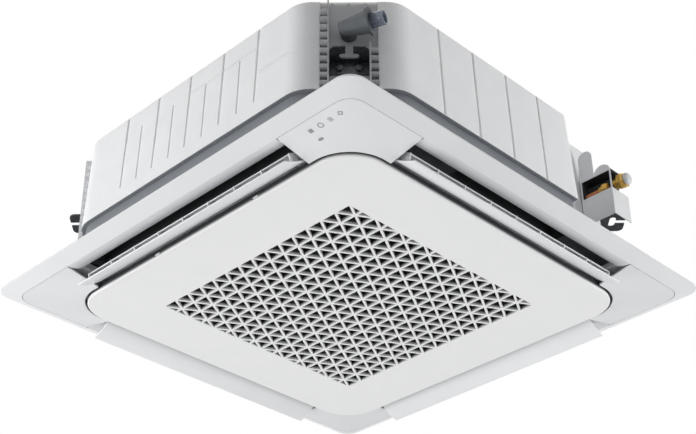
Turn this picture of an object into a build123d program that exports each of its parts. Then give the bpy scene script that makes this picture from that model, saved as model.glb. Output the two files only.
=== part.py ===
from build123d import *
from math import cos, dist, pi, radians, sin, sqrt, tan
import os

# Four-way ceiling cassette air conditioner.
# The origin is the centre of the four hanger slots, in the plane of the hanger plates' undersides.
# +Z points up to the roof slab. Heights written "above ceiling" are measured from the finished
# ceiling, the plane that the top of the decoration panel's rim lies against.

os.makedirs("parts", exist_ok=True)

# ---------------------------------------------------------------- overall sizes
rod_pitch = 730.0             # hanging rods, centre to centre, both ways
hanger_height = 150.0         # hanger plates above ceiling
ceiling = -hanger_height      # finished ceiling in the part's own frame
root_two = sqrt(2.0)

panel_size = 950.0
panel_corner_radius = 30.0
body_size = 840.0
body_top = 288.0              # above ceiling
shell_bottom = 90.0           # above ceiling, top of the grey lower casing
unit_bottom = 14.0            # above ceiling, underside of drain pan and lower casing
slip = 0.3                    # clearance between pieces that only lie near each other
pin_clearance = 0.05          # radial clearance of every turning pin
few_sides = 12                # flats around small round pieces
barrel_sides = 24             # flats around the motor and the drain boot's flange
ring_sides = 48               # flats around the bell mouth and the fan's sloping walls
corner_flats = 8              # flats round each corner of the rim and the corner covers

# ---------------------------------------------------------------- cabinet
shell_wall = 20.0
shell_draft = 2.0             # degrees
shell_top_round = 10.0
corner_leg = 125.0            # cut-off corners of the cabinet
corner_round = 60.0           # rounds where the cut-off corners meet the sides
pipe_recess_start = 175.0     # where the front right face stops before the pipe recess
pipe_recess_depth = 50.0
pipe_corner_diag = 486.0      # distance of the pipe corner's slanted face from the centre
groove_pitch = 92.0
groove_start = -192.0         # first groove, along each face from its middle
groove_count = 5
groove_width = 6.0
groove_depth = 2.5
groove_foot = 120.0           # above ceiling
mould_line_low = 183.0        # above ceiling, level grooves of the front left face
mould_line_high = 241.0
mould_line_start = -300.0     # end of the low one, towards the front corner
mould_line_width = 4.0
mould_line_depth = 1.5
top_plate_thickness = 1.5
top_plate_ledge = 6.0
top_plate_height = 282.0
swage_radius = 150.0           # raised eight-sided ring over the motor
swage_width = 14.0
casing_inset = 8.0
casing_wall = 8.0

# ---------------------------------------------------------------- corner posts and hangers
post_slot_half = 49.0
post_back = 492.0             # distance of the back plate's inner face from the centre
post_plate = 3.0
post_web_half = 35.0
post_web_depth = 23.0
post_web_thickness = 2.5
post_fin_pitch = 17.0
post_fin_thickness = 2.0
post_foot = 92.0              # above ceiling
post_top = 276.0              # above ceiling
post_pin_radius = 1.8
post_pin_height = 7.0
post_pin_pitch = 28.0
hanger_thickness = 3.0
hanger_half_width = 33.0       # fits between the post's webs
hanger_reach = 25.0           # plate beyond the rod's centre
hanger_corner = 12.0
hanger_lip = 24.0             # depth of the flange that is bolted to the post
slot_length = 34.0
slot_width = 12.5
slot_mouth = 13.0
bolt_head_radius = 6.0
bolt_head_height = 4.0

# ---------------------------------------------------------------- drain
drain_height = 210.0          # above ceiling
drain_turn = 24.0             # degrees, outlet out of the corner face's own direction
boot_start = -14.0
boot_out = 512.0
boot_length = 52.0
boot_small_radius = 13.5
boot_large_radius = 21.0
boot_flange_radius = 25.0
boot_flange = 4.0
drain_tube_radius = 13.0
drain_tube_wall = 2.0
drain_tube_length = 46.0
drain_tube_grip = 18.0
drain_tube_step = 0.5         # spigot inside the boot is this much narrower
pump_wall_gap = 4.5           # pump and the corner wall behind it
pump_radius = 15.0
pump_bottom = 52.0            # above ceiling
pump_top = 132.0              # above ceiling
pump_inlet_radius = 8.0
pump_inlet_gap = 2.0          # between the inlet and the pan's floor
sump_gap = 3.0
hose_radius = 8.0
hose_wall = 1.5
float_wall_gap = 23.5
float_side = 46.0             # float switch beside the pump
float_stop = 2.0
float_arm = 8.0
float_stem_radius = 3.0
float_radius = 9.0
float_height = 14.0
float_travel = 8.0
float_rest = 44.0             # above ceiling

# ---------------------------------------------------------------- heat exchanger
coil_half = 360.0
coil_corner = 150.0
coil_depth = 40.0
coil_bottom = 36.0            # above ceiling
coil_height = 234.0
coil_end = 150.0              # where both ends stop beside the pipe corner
end_plate_thickness = 1.5
bend_tube_radius = 4.0
bend_span = 24.0
bend_reach = 12.0
bend_pitch = 52.0
bend_count = 4
header_radius = 8.0

# ---------------------------------------------------------------- drain pan and bell mouth
pan_top = 80.0                # above ceiling
pan_opening_half = 286.0
pan_opening_corner = 58.0
trough_gap = 6.0
duct_inner = 375.0
duct_outer = 397.0
duct_half_length = 262.0
short_duct_half = 140.0        # outlet beside the pipe recess
bell_plate_thickness = 2.5
bell_throat = 192.0
bell_mouth_radius = 232.0
bell_lip_top = 80.0           # above ceiling
bell_waist = 11.0              # how much wider than the throat half way down
bell_wall = 2.5

# ---------------------------------------------------------------- fan and motor
fan_radius = 232.0
fan_bottom = 75.0             # above ceiling
fan_back = 233.0              # above ceiling
fan_inlet = 200.0
fan_wall = 2.5
shroud_neck = 24.0
shroud_height = 50.0
fan_blades = 7
blade_inner = 152.0
blade_outer = 228.5
blade_sweep = 34.0            # degrees between a blade's inner and outer end
blade_thickness = 5.0
blade_bow = 9.0
blade_lean = 50.0             # degrees, direction across a blade's thickness
hub_radius = 112.0
hub_nose = 38.0
hub_nose_height = 150.0       # above ceiling
hub_bore = 5.0
hub_wall = 5.0
motor_radius = 66.0
motor_bottom = 206.0          # above ceiling
motor_top = 266.0             # above ceiling
motor_shaft_radius = 4.96
motor_shaft_end = 136.0       # above ceiling
motor_step = 8.0              # smaller end cap, in height and in radius
motor_flange_size = 136.0
motor_flange = 3.0
mount_half = 9.0
mount_height = 6.0
mount_pitch = 112.0
bracket_size = 170.0
bracket_foot = 22.0
bracket_thickness = 3.0
fan_nut_radius = 9.0
fan_nut_height = 6.0

# ---------------------------------------------------------------- control box
box_half_length = 150.0
box_near = 243.0
box_far = 279.0
box_top = 64.0                # above ceiling
box_wall = 1.2
box_cover_overlap = 3.0
board_thickness = 1.6
board_standoff = 5.0
board_length = 210.0
board_shift = 37.5             # off the middle, away from the terminals
board_foot = 4.0
relay_length = 22.0
relay_width = 16.0
relay_side = 105.0
capacitor_length = 30.0
capacitor_width = 20.0
capacitor_side = 30.0
component_height = 14.0
cable_hole_radius = 5.0
cable_hole_drop = 14.0         # below the box's top
terminal_side = 112.5
terminal_depth = 18.0
terminal_height = 10.0
terminal_barrier = 1.5
terminal_barrier_height = 5.0
terminal_width = 9.0
terminal_count = 6

# ---------------------------------------------------------------- refrigerant pipes
pipe_cover_x = 262.0
pipe_cover_sheet = 1.5
pipe_cover_bottom = 92.0      # above ceiling
pipe_cover_reach = 70.0       # how far it stands out of the pipe recess
pipe_cover_step = 32.0
pipe_cover_high = 256.0       # above ceiling, tall rounded top
pipe_cover_low = 208.0        # above ceiling, low rounded top
pipe_window_below = 23.0      # window edges under and over the gas pipe
pipe_window_above = 17.0
pipe_cover_wing = 52.0
gas_x = 290.0
gas_height = 173.0            # above ceiling
gas_radius = 7.94
gas_end = 84.0                # nut face beyond the recess
liquid_x = 271.0
pipe_drop = 14.0              # liquid pipe below the gas pipe
liquid_radius = 4.76
liquid_end = 56.0
pipe_wall = 1.0
nut_grow_gas = 6.0
nut_grow_liquid = 4.5
gas_nut_length = 24.0
liquid_nut_length = 19.0
nut_hexagon_share = 0.6        # part of a nut's length that is six-sided
nut_collar_share = 0.8         # collar against the hexagon's height over the pipe
nut_bevel_share = 6            # this many bevels make up the hexagon's height
insulation_radius = 14.0
insulation_slab = 6.0
liquid_height = gas_height - pipe_drop
pipe_window_bottom = gas_height - pipe_window_below
pipe_window_top = gas_height + pipe_window_above

# ---------------------------------------------------------------- decoration panel
rim_edge = 3.0                # straight edge of the rim
rim_drop = 15.0               # lip of the rim below ceiling
rim_inner = 446.0             # seam between the rim and what lies inside it
seam_corner = 32.0
collar_top = 10.0             # above ceiling
collar_half = 452.0
intake_half = 290.0
intake_corner = 40.0
slot_inner = 373.5
slot_outer = 408.0
slot_flare_height = 8.0       # above ceiling, where the flared wall turns upright
slot_half_length = 279.0
centre_floor = -5.0           # above ceiling, floor over the grille
corner_floor = -2.0           # above ceiling, floor over the corner covers
gasket_width = 8.0

# ---------------------------------------------------------------- vanes
vane_hinge_out = 384.0
vane_hinge_height = -14.0     # above ceiling
vane_half_length = 276.0
vane_rest_angle = 31.0        # degrees below the shut position
blade_in_x = -6.0             # main blade, shut, seen from the hinge
blade_in_z = -8.0
blade_out_x = 57.0
blade_out_z = -3.0
blade_sag = 3.0
blade_thick = 2.6
upper_in_x = 4.0              # upper blade, shut, seen from the hinge
upper_in_z = 9.0
upper_out_x = 20.0
upper_out_z = 7.0
upper_sag = 1.0
upper_thick = 2.2
upper_short = 6.0             # upper blade is shorter at both ends
rib_foot = 26.0
vane_rib_count = 5
vane_rib = 3.0
vane_pin_radius = 3.0
vane_pin_length = 11.0
bearing_gap = 3.5
bearing_length = 7.0
bearing_half = 6.0
motor_gap = 0.5
step_motor_radius = 10.0
step_motor_length = 14.0

# ---------------------------------------------------------------- centre grille
grille_half = 369.5
grille_corner = 73.0
grille_face = -34.0           # above ceiling
grille_skin = 3.0
grille_skirt_top = -19.0      # above ceiling
grille_edge_bevel = 2.0
lattice_half = 247.5
lattice_rows = 16
lattice_cells = 14
lattice_bar = 4.2
lattice_depth = 10.0
hinge_out = 350.0
hinge_height = -28.3          # above ceiling
hinge_pin_radius = 1.5
hinge_side = 180.0
hinge_lug = 14.0
hinge_ear = 6.0
hinge_lug_half = 2.3
hinge_notch = 3.0
filter_half = 246.0
filter_frame = 10.0
filter_thickness = 5.0
filter_rib = 3.0
filter_ribs = 4
filter_mesh = 0.8
latch_side = 130.0
latch_back = 340.0
latch_length = 24.0
latch_height = 3.0
latch_travel = 5.0
latch_tab = 12.0
latch_tab_side = 18.0         # thumb tab beside the frame's hook post
latch_proud = 2.0             # thumb tab beyond the grille's edge
latch_arm = 4.0
hook_height = 4.0
hook_post = 6.0

# ---------------------------------------------------------------- corner covers and display
cover_seam = 0.6
cover_inner_drop = 15.5       # fall of the cover from the seam to the grille's edge
cover_skin = 3.0
cover_start = 281.0
grille_gap = 5.0
cover_post_half = 3.5
cover_post_diag = 520.0
cover_post_side = 60.0
cover_post_length = 19.0
screw_diag = 455.0
screw_radius = 2.5
screw_head_radius = 5.0
screw_head_height = 3.5
screw_length = 22.0
display_length = 70.0
display_width = 34.0
display_thickness = 1.6
display_diag = 476.0
display_height = -17.0        # above ceiling
display_post = 3.0

# ---------------------------------------------------------------- shared helpers
corner_wall = (body_size - corner_leg) / root_two - shell_wall
SIDES = {"back_right": 0, "back_left": 90, "front_left": 180, "front_right": 270}
CORNERS = {"back": 45, "left": 135, "front": 225, "right": 315}
body_half = body_size / 2
rod_diag = rod_pitch / root_two
pump_diag = corner_wall - pump_radius - pump_wall_gap
float_diag = corner_wall - float_wall_gap


def above(height):
    """Level plane at a height above the ceiling."""
    return Plane.XY.offset(ceiling + height)


def section(angle, along=0.0):
    """Upright plane: x runs outwards at the angle, y is the height above the ceiling."""
    a = radians(angle)
    start = (-sin(a) * along, cos(a) * along, ceiling)
    return Plane(origin=start, x_dir=(cos(a), sin(a), 0), z_dir=(sin(a), -cos(a), 0))


def facing(angle, out, height=0.0):
    """Upright plane seen from outside: x runs along the side, y is up, z points outwards."""
    a = radians(angle)
    start = (cos(a) * out, sin(a) * out, ceiling + height)
    return Plane(origin=start, x_dir=(-sin(a), cos(a), 0), z_dir=(cos(a), sin(a), 0))


def level(angle, height):
    """Level plane turned so that x runs outwards at the angle."""
    a = radians(angle)
    return Plane(origin=(0, 0, ceiling + height), x_dir=(cos(a), sin(a), 0), z_dir=(0, 0, 1))


def round_ring(plane, radius, sides):
    """Corners of a ring of flats on a plane."""
    turns = [2 * pi * n / sides for n in range(sides)]
    return [plane.from_local_coords((radius * cos(turn), radius * sin(turn), 0)) for turn in turns]


def square_ring(half, radius, height):
    """Corners of a level square at a height above the ceiling, rounded by flats at its own corners."""
    ring = []
    for n in range(4 * (corner_flats + 1)):
        quarter, step = divmod(n, corner_flats + 1)
        turn = radians(90 * (quarter + step / corner_flats))
        centre_x, centre_y = ((1, 1), (-1, 1), (-1, -1), (1, -1))[quarter]
        x = centre_x * (half - radius) + radius * cos(turn)
        y = centre_y * (half - radius) + radius * sin(turn)
        ring.append((x, y, ceiling + height))
    return ring


def square_outline(half, radius):
    """Level square whose own corners are rounded by flats."""
    with BuildSketch() as outline:
        with BuildLine():
            Polyline([(x, y) for x, y, _ in square_ring(half, radius, 0)], close=True)
        make_face()
    return outline.sketch


def flat_loft(low, high):
    """Solid between two rings with as many corners each, its walls flat."""
    walls = [Face(Wire.make_polygon([low[n - 1], low[n], high[n], high[n - 1]])) for n in range(len(low))]
    ends = [Face(Wire.make_polygon(ring)) for ring in (low, high)]
    return Solid(Shell(walls + ends))


def cabinet_outline(inset):
    """Outline of the cabinet, square with cut corners and the pipe recess, moved in by inset."""
    recess = body_half - pipe_recess_depth
    slant = pipe_corner_diag * root_two
    with BuildSketch() as outline:
        with BuildLine():
            Polyline(
                (body_half - corner_leg, body_half),
                (-body_half + corner_leg, body_half),
                (-body_half, body_half - corner_leg),
                (-body_half, -body_half + corner_leg),
                (-body_half + corner_leg, -body_half),
                (pipe_recess_start, -body_half),
                (pipe_recess_start, -recess),
                (slant - recess, -recess),
                (body_half, body_half - slant),
                (body_half, body_half - corner_leg),
                close=True,
            )
        make_face()
        if inset:
            offset(amount=-inset, kind=Kind.INTERSECTION)
        off_diagonal = [v for v in outline.vertices() if abs(abs(v.X) - abs(v.Y)) > corner_leg / 2]
        fillet([v for v in off_diagonal if v.X - v.Y < body_half], radius=corner_round)
    return outline.sketch


def coil_outline(grow):
    """Rounded square of the heat exchanger's outer face, moved out by grow."""
    with BuildSketch() as outline:
        RectangleRounded(2 * (coil_half + grow), 2 * (coil_half + grow), coil_corner + grow)
    return outline.sketch


# ================================================================ cabinet
with BuildPart() as cabinet_shell:
    shell_height = body_top - shell_bottom
    with BuildSketch(above(shell_bottom)):
        add(cabinet_outline(0))
    extrude(amount=shell_height, taper=shell_draft)
    shell_edges = cabinet_shell.faces().sort_by(Axis.Z)[-1].edges()
    fillet(shell_edges, radius=shell_top_round)
    with BuildSketch(above(shell_bottom)):
        add(cabinet_outline(shell_wall))
    extrude(amount=shell_height, mode=Mode.SUBTRACT)
    with BuildSketch(above(top_plate_height)):
        add(cabinet_outline(shell_wall - top_plate_ledge))
    extrude(amount=body_top - top_plate_height, mode=Mode.SUBTRACT)
    for corner in ("front", "left", "back"):
        with BuildSketch(facing(CORNERS[corner], post_back, shell_bottom)):
            with Locations((0, shell_height / 2)):
                Rectangle(2 * post_slot_half, shell_height)
        extrude(amount=3 * shell_wall, mode=Mode.SUBTRACT)
    edge_out = body_half - shell_height * tan(radians(shell_draft)) - shell_top_round
    edge_low = body_top - shell_top_round
    inner_round = shell_top_round - groove_depth
    groove_top = (edge_out + inner_round, edge_low)
    groove_turn = (edge_out + inner_round / root_two, edge_low + inner_round / root_two)
    groove_end = (edge_out, body_top - groove_depth)
    for side, angle in SIDES.items():
        mirror = -1 if side in ("front_left", "back_left") else 1
        foot = shell_bottom if side == "front_right" else groove_foot
        for n in range(groove_count - 1 if side == "front_right" else groove_count):
            with BuildSketch(section(angle, mirror * (groove_start + n * groove_pitch))):
                with BuildLine():
                    Polyline((body_half, foot), (body_half - groove_depth, foot + groove_depth), groove_top)
                    ThreePointArc(groove_top, groove_turn, groove_end)
                    Polyline(groove_end, (edge_out - groove_width, body_top), (body_half, body_top))
                    Line((body_half, body_top), (body_half, foot))
                make_face()
            extrude(amount=groove_width / 2, both=True, mode=Mode.SUBTRACT)
    lean = radians(shell_draft)
    mould_plane = Plane(origin=(-body_half, 0, ceiling + shell_bottom), x_dir=(0, -1, 0),
                        z_dir=(-cos(lean), 0, sin(lean)))
    groove_middle = groove_start + 2 * groove_pitch
    with BuildSketch(mould_plane):
        with Locations((-groove_middle, (groove_foot + mould_line_high) / 2 - shell_bottom)):
            with GridLocations(groove_pitch, 0, groove_count - 1, 1):
                Rectangle(mould_line_width, mould_line_high - groove_foot)
        with Locations((-(groove_start + groove_middle) / 2, mould_line_high - shell_bottom)):
            Rectangle(groove_middle - groove_start, mould_line_width)
        with Locations((-(groove_start + mould_line_start) / 2, mould_line_low - shell_bottom)):
            Rectangle(groove_start - mould_line_start, mould_line_width)
    extrude(amount=-mould_line_depth, mode=Mode.SUBTRACT)
    with BuildSketch(facing(CORNERS["front"], post_back, drain_height)):
        Circle(hose_radius + slip)
    extrude(amount=-shell_wall, mode=Mode.SUBTRACT)
    with BuildSketch(facing(SIDES["front_right"], body_half - pipe_recess_depth)):
        with Locations((gas_x, gas_height)):
            Circle(insulation_radius + slip)
        with Locations((liquid_x, liquid_height)):
            Circle(liquid_radius + slip)
    extrude(amount=-2 * shell_wall, mode=Mode.SUBTRACT)
cabinet_shell.part.label = "cabinet_shell"
export_step(cabinet_shell.part, "parts/cabinet_shell.step")

with BuildPart() as top_plate:
    with BuildSketch(above(top_plate_height)):
        add(cabinet_outline(shell_wall - top_plate_ledge + slip))
    extrude(amount=top_plate_thickness)
    with BuildSketch(above(top_plate_height + top_plate_thickness)):
        RegularPolygon(swage_radius, 8)
        RegularPolygon(swage_radius - swage_width, 8, mode=Mode.SUBTRACT)
    extrude(amount=top_plate_thickness)
top_plate.part.label = "top_plate"
export_step(top_plate.part, "parts/top_plate.step")

with BuildPart() as lower_casing:
    with BuildSketch(above(unit_bottom)):
        add(cabinet_outline(casing_inset))
        add(cabinet_outline(casing_inset + casing_wall), mode=Mode.SUBTRACT)
    extrude(amount=shell_bottom - unit_bottom)
lower_casing.part.label = "lower_casing"
export_step(lower_casing.part, "parts/lower_casing.step")

# ================================================================ corner posts
fin_width = post_slot_half - slip - post_web_half - post_web_thickness / 2
web_out = post_back + post_plate + post_web_depth / 2
for corner in ("front", "left", "back"):
    angle = CORNERS[corner]
    with BuildPart() as corner_post:
        with BuildSketch(level(angle, post_foot)):
            with Locations((post_back + post_plate / 2, 0)):
                Rectangle(post_plate, 2 * (post_slot_half - slip))
        extrude(amount=post_top - post_foot)
        for web_side in (-1, 1):
            below_outlet = drain_height - boot_flange_radius - boot_flange
            web_top = below_outlet if corner == "front" and web_side > 0 else post_top
            with BuildSketch(level(angle, post_foot)):
                with Locations((web_out, web_side * post_web_half)):
                    Rectangle(post_web_depth, post_web_thickness)
            extrude(amount=web_top - post_foot)
            fin_centre = web_side * (post_slot_half - slip - fin_width / 2)
            for n in range(int((web_top - post_foot) // post_fin_pitch)):
                with BuildSketch(level(angle, post_foot + (n + 0.5) * post_fin_pitch)):
                    with Locations((web_out - post_fin_thickness, fin_centre)):
                        Rectangle(post_web_depth - 2 * post_fin_thickness, fin_width)
                extrude(amount=post_fin_thickness)
        with BuildSketch(level(angle, post_top)):
            pin_row = post_back + post_plate / 2
            with GridLocations(0, post_pin_pitch, 1, 3):
                with Locations((pin_row, 0)):
                    Rectangle(post_plate, 2 * post_pin_radius)
        extrude(amount=post_pin_height)
        if corner == "front":
            with BuildSketch(facing(angle, post_back - post_plate, drain_height)):
                Circle(hose_radius + slip)
            extrude(amount=3 * post_plate, mode=Mode.SUBTRACT)
    corner_post.part.label = f"corner_post_{corner}"
    export_step(corner_post.part, f"parts/corner_post_{corner}.step")

# ================================================================ hangers
lip_lean = (hanger_height - hanger_lip - shell_bottom) * tan(radians(shell_draft))
hanger_seats = dict.fromkeys(CORNERS, post_back + post_plate)
hanger_seats["right"] = pipe_corner_diag - lip_lean
for corner, angle in CORNERS.items():
    hanger_back = hanger_seats[corner]
    plate_out = rod_diag + hanger_reach
    with BuildPart() as hanger:
        with BuildSketch(level(angle, hanger_height)) as hanger_plate:
            with Locations(((hanger_back + plate_out) / 2, 0)):
                Rectangle(plate_out - hanger_back, 2 * hanger_half_width)
            fillet(hanger_plate.vertices().group_by(Axis.X)[-1], radius=hanger_corner)
            with Locations((rod_diag, 0)):
                SlotOverall(slot_length, slot_width, rotation=90, mode=Mode.SUBTRACT)
            with Locations((rod_diag + hanger_reach / 2, 0)):
                Rectangle(hanger_reach, slot_mouth, mode=Mode.SUBTRACT)
        extrude(amount=hanger_thickness)
        with BuildSketch(level(angle, hanger_height)):
            with Locations((hanger_back + hanger_thickness / 2, 0)):
                Rectangle(hanger_thickness, 2 * hanger_half_width)
        extrude(amount=-hanger_lip)
    hanger.part.label = f"hanger_{corner}"
    export_step(hanger.part, f"parts/hanger_{corner}.step")

with BuildPart() as hanger_bolts:
    for corner, angle in CORNERS.items():
        hanger_back = hanger_seats[corner]
        with BuildSketch(facing(angle, hanger_back + hanger_thickness, hanger_height - hanger_lip / 2)):
            with GridLocations(hanger_half_width, 0, 2, 1):
                RegularPolygon(bolt_head_radius, 6)
        extrude(amount=bolt_head_height)
hanger_bolts.part.label = "hanger_bolts"
export_step(hanger_bolts.part, "parts/hanger_bolts.step")

# ================================================================ drain pan
trough_end = coil_end + end_plate_thickness + bend_reach + bend_tube_radius + trough_gap
with BuildPart() as drain_pan:
    with BuildSketch(above(unit_bottom)):
        add(cabinet_outline(casing_inset + casing_wall + slip))
        RectangleRounded(2 * pan_opening_half, 2 * pan_opening_half, pan_opening_corner, mode=Mode.SUBTRACT)
        for side, angle in SIDES.items():
            duct_centre = (duct_inner + duct_outer) / 2
            with Locations((cos(radians(angle)) * duct_centre, sin(radians(angle)) * duct_centre)):
                duct_half = short_duct_half if side == "front_right" else duct_half_length
                Rectangle(duct_outer - duct_inner, 2 * duct_half, rotation=angle, mode=Mode.SUBTRACT)
    extrude(amount=pan_top - unit_bottom)
    with BuildSketch(above(coil_bottom)):
        add(coil_outline(trough_gap))
        add(coil_outline(-coil_depth - trough_gap), mode=Mode.SUBTRACT)
        with BuildSketch(mode=Mode.PRIVATE) as pipe_corner_block:
            with Locations((body_half, -body_half)):
                Rectangle(2 * (body_half - trough_end), 2 * (body_half - trough_end))
        add(pipe_corner_block.sketch, mode=Mode.SUBTRACT)
    extrude(amount=pan_top - coil_bottom, mode=Mode.SUBTRACT)
    with BuildSketch(level(CORNERS["front"], coil_bottom)):
        with Locations((pump_diag, 0)):
            Rectangle(2 * (pump_radius + sump_gap), 2 * (pump_radius + sump_gap))
        with Locations((float_diag, float_side)):
            Rectangle(2 * (float_radius + sump_gap), 2 * (float_radius + sump_gap))
    extrude(amount=pan_top - coil_bottom, mode=Mode.SUBTRACT)
    with BuildSketch(above(unit_bottom)):
        with PolarLocations(screw_diag, 4, start_angle=45):
            RegularPolygon(screw_radius + slip, few_sides)
    extrude(amount=screw_length, mode=Mode.SUBTRACT)
drain_pan.part.label = "drain_pan"
export_step(drain_pan.part, "parts/drain_pan.step")

with BuildPart() as bell_mouth:
    plate_bottom = unit_bottom
    with BuildSketch(above(plate_bottom)):
        bell_plate_half = pan_opening_half - slip
        RectangleRounded(2 * bell_plate_half, 2 * bell_plate_half, pan_opening_corner - slip)
        with Locations((0, -(box_near + box_far) / 2)):
            Rectangle(2 * (box_half_length + slip), box_far - box_near + 2 * slip, mode=Mode.SUBTRACT)
    extrude(amount=bell_plate_thickness)
    waist = bell_throat + bell_waist
    waist_height = plate_bottom + (bell_lip_top - plate_bottom) / 2
    for grow, mode in ((bell_wall, Mode.ADD), (0, Mode.SUBTRACT)):
        for low, wide, high, narrow in (
            (plate_bottom, bell_mouth_radius - bell_wall, waist_height, waist),
            (waist_height, waist, bell_lip_top, bell_throat),
        ):
            wide_ring = round_ring(above(low), wide + grow, ring_sides)
            narrow_ring = round_ring(above(high), narrow + grow, ring_sides)
            add(flat_loft(wide_ring, narrow_ring), mode=mode)
bell_mouth.part.label = "bell_mouth"
export_step(bell_mouth.part, "parts/bell_mouth.step")

# ================================================================ heat exchanger
with BuildPart() as coil_fins:
    with BuildSketch(above(coil_bottom)):
        add(coil_outline(0))
        add(coil_outline(-coil_depth), mode=Mode.SUBTRACT)
        with Locations((body_half, -body_half)):
            Rectangle(2 * (body_half - coil_end), 2 * (body_half - coil_end), mode=Mode.SUBTRACT)
    extrude(amount=coil_height)
coil_fins.part.label = "coil_fins"
export_step(coil_fins.part, "parts/coil_fins.step")

coil_middle = coil_half - coil_depth / 2
with BuildPart() as coil_end_plates:
    with BuildSketch(above(coil_bottom)):
        with Locations((coil_end + end_plate_thickness / 2, -coil_middle)):
            Rectangle(end_plate_thickness, coil_depth)
        with Locations((coil_middle, -coil_end - end_plate_thickness / 2)):
            Rectangle(coil_depth, end_plate_thickness)
    extrude(amount=coil_height)
coil_end_plates.part.label = "coil_end_plates"
export_step(coil_end_plates.part, "parts/coil_end_plates.step")

with BuildPart() as coil_bends:
    for n in range(bend_count):
        low = coil_bottom + bend_pitch * (n + 0.5)
        start = coil_end + end_plate_thickness
        far = start + bend_reach
        with BuildLine(section(SIDES["back_right"], -coil_middle)) as bend_path:
            Polyline((start, low), (far, low), (far, low + bend_span), (start, low + bend_span))
        with BuildSketch(Plane(origin=bend_path.line @ 0, z_dir=bend_path.line % 0)):
            RegularPolygon(bend_tube_radius, 8)
        sweep(path=bend_path.line, transition=Transition.RIGHT)
coil_bends.part.label = "coil_bends"
export_step(coil_bends.part, "parts/coil_bends.step")

# ================================================================ refrigerant pipes
recess_face = body_half - pipe_recess_depth
header_side = recess_face - shell_wall - header_radius - slip


def pipe_run(x, height, radius, reach):
    """Pipe from the header behind the recess wall out to its flare, along -Y."""
    with BuildPart() as run:
        with BuildSketch(Plane(origin=(x, -header_side, ceiling + height), x_dir=(1, 0, 0),
                               z_dir=(0, -1, 0))):
            Circle(radius)
            Circle(radius - pipe_wall, mode=Mode.SUBTRACT)
        extrude(amount=recess_face + reach - header_side)
        with BuildSketch(Plane(origin=(x, -header_side, ceiling + height), x_dir=(1, 0, 0),
                               z_dir=(0, -1, 0))):
            Circle(radius)
        extrude(amount=-2 * pipe_wall)
    return run


def flare_nut(x, height, radius, grow, length, reach):
    """Hexagon nut with a round collar behind it, over the pipe's flared end."""
    face = recess_face + reach
    with BuildPart() as nut:
        with BuildSketch(Plane(origin=(x, -face, ceiling + height), x_dir=(1, 0, 0), z_dir=(0, -1, 0))):
            RegularPolygon(radius + grow, 6, major_radius=False)
        extrude(amount=-length * nut_hexagon_share)
        with BuildSketch(Plane(origin=(x, -face, ceiling + height), x_dir=(1, 0, 0), z_dir=(0, -1, 0))):
            RegularPolygon(radius + grow * nut_collar_share, 2 * few_sides)
        extrude(amount=-length)
        with BuildSketch(Plane(origin=(x, -face, ceiling + height), x_dir=(1, 0, 0), z_dir=(0, -1, 0))):
            Circle(radius + pin_clearance)
        extrude(amount=-length, mode=Mode.SUBTRACT)
        outer_edges = nut.faces().sort_by(Axis.Y)[0].edges().filter_by(GeomType.LINE)
        chamfer(outer_edges, length=grow / nut_bevel_share)
    return nut


gas_pipe = pipe_run(gas_x, gas_height, gas_radius, gas_end)
gas_pipe.part.label = "gas_pipe"
export_step(gas_pipe.part, "parts/gas_pipe.step")

liquid_pipe = pipe_run(liquid_x, liquid_height, liquid_radius, liquid_end)
liquid_pipe.part.label = "liquid_pipe"
export_step(liquid_pipe.part, "parts/liquid_pipe.step")

gas_flare_nut = flare_nut(gas_x, gas_height, gas_radius, nut_grow_gas, gas_nut_length, gas_end)
gas_flare_nut.part.label = "gas_flare_nut"
export_step(gas_flare_nut.part, "parts/gas_flare_nut.step")

liquid_flare_nut = flare_nut(liquid_x, liquid_height, liquid_radius, nut_grow_liquid,
                             liquid_nut_length, liquid_end)
liquid_flare_nut.part.label = "liquid_flare_nut"
export_step(liquid_flare_nut.part, "parts/liquid_flare_nut.step")

with BuildPart() as coil_headers:
    header_low = pan_top + slip
    with BuildSketch(above(header_low)):
        with Locations((gas_x, -header_side + 2 * pipe_wall + header_radius)):
            Circle(header_radius)
    extrude(amount=coil_bottom + coil_height - header_low - bend_pitch / 2)
    with BuildSketch(above(header_low)):
        with Locations((liquid_x - 2 * header_radius, -header_side + 2 * pipe_wall + header_radius)):
            Circle(header_radius / 2)
    extrude(amount=coil_bottom + coil_height - header_low - bend_pitch / 2)
coil_headers.part.label = "coil_headers"
export_step(coil_headers.part, "parts/coil_headers.step")

with BuildPart() as pipe_insulation:
    with BuildSketch(facing(SIDES["front_right"], recess_face)):
        with Locations((gas_x, (pipe_window_bottom + pipe_window_top) / 2)):
            Rectangle(2 * (gas_x - pipe_cover_x - pipe_cover_sheet - slip),
                      pipe_window_top - pipe_window_bottom)
        with Locations((liquid_x, liquid_height)):
            Circle(liquid_radius + slip, mode=Mode.SUBTRACT)
    extrude(amount=insulation_slab)
    with BuildSketch(facing(SIDES["front_right"], recess_face)):
        with Locations((gas_x, gas_height)):
            Circle(insulation_radius)
    extrude(amount=gas_end - gas_nut_length - slip)
    with BuildSketch(facing(SIDES["front_right"], recess_face)):
        with Locations((gas_x, gas_height)):
            Circle(gas_radius + slip)
    extrude(amount=gas_end, mode=Mode.SUBTRACT)
pipe_insulation.part.label = "pipe_insulation"
export_step(pipe_insulation.part, "parts/pipe_insulation.step")

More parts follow.
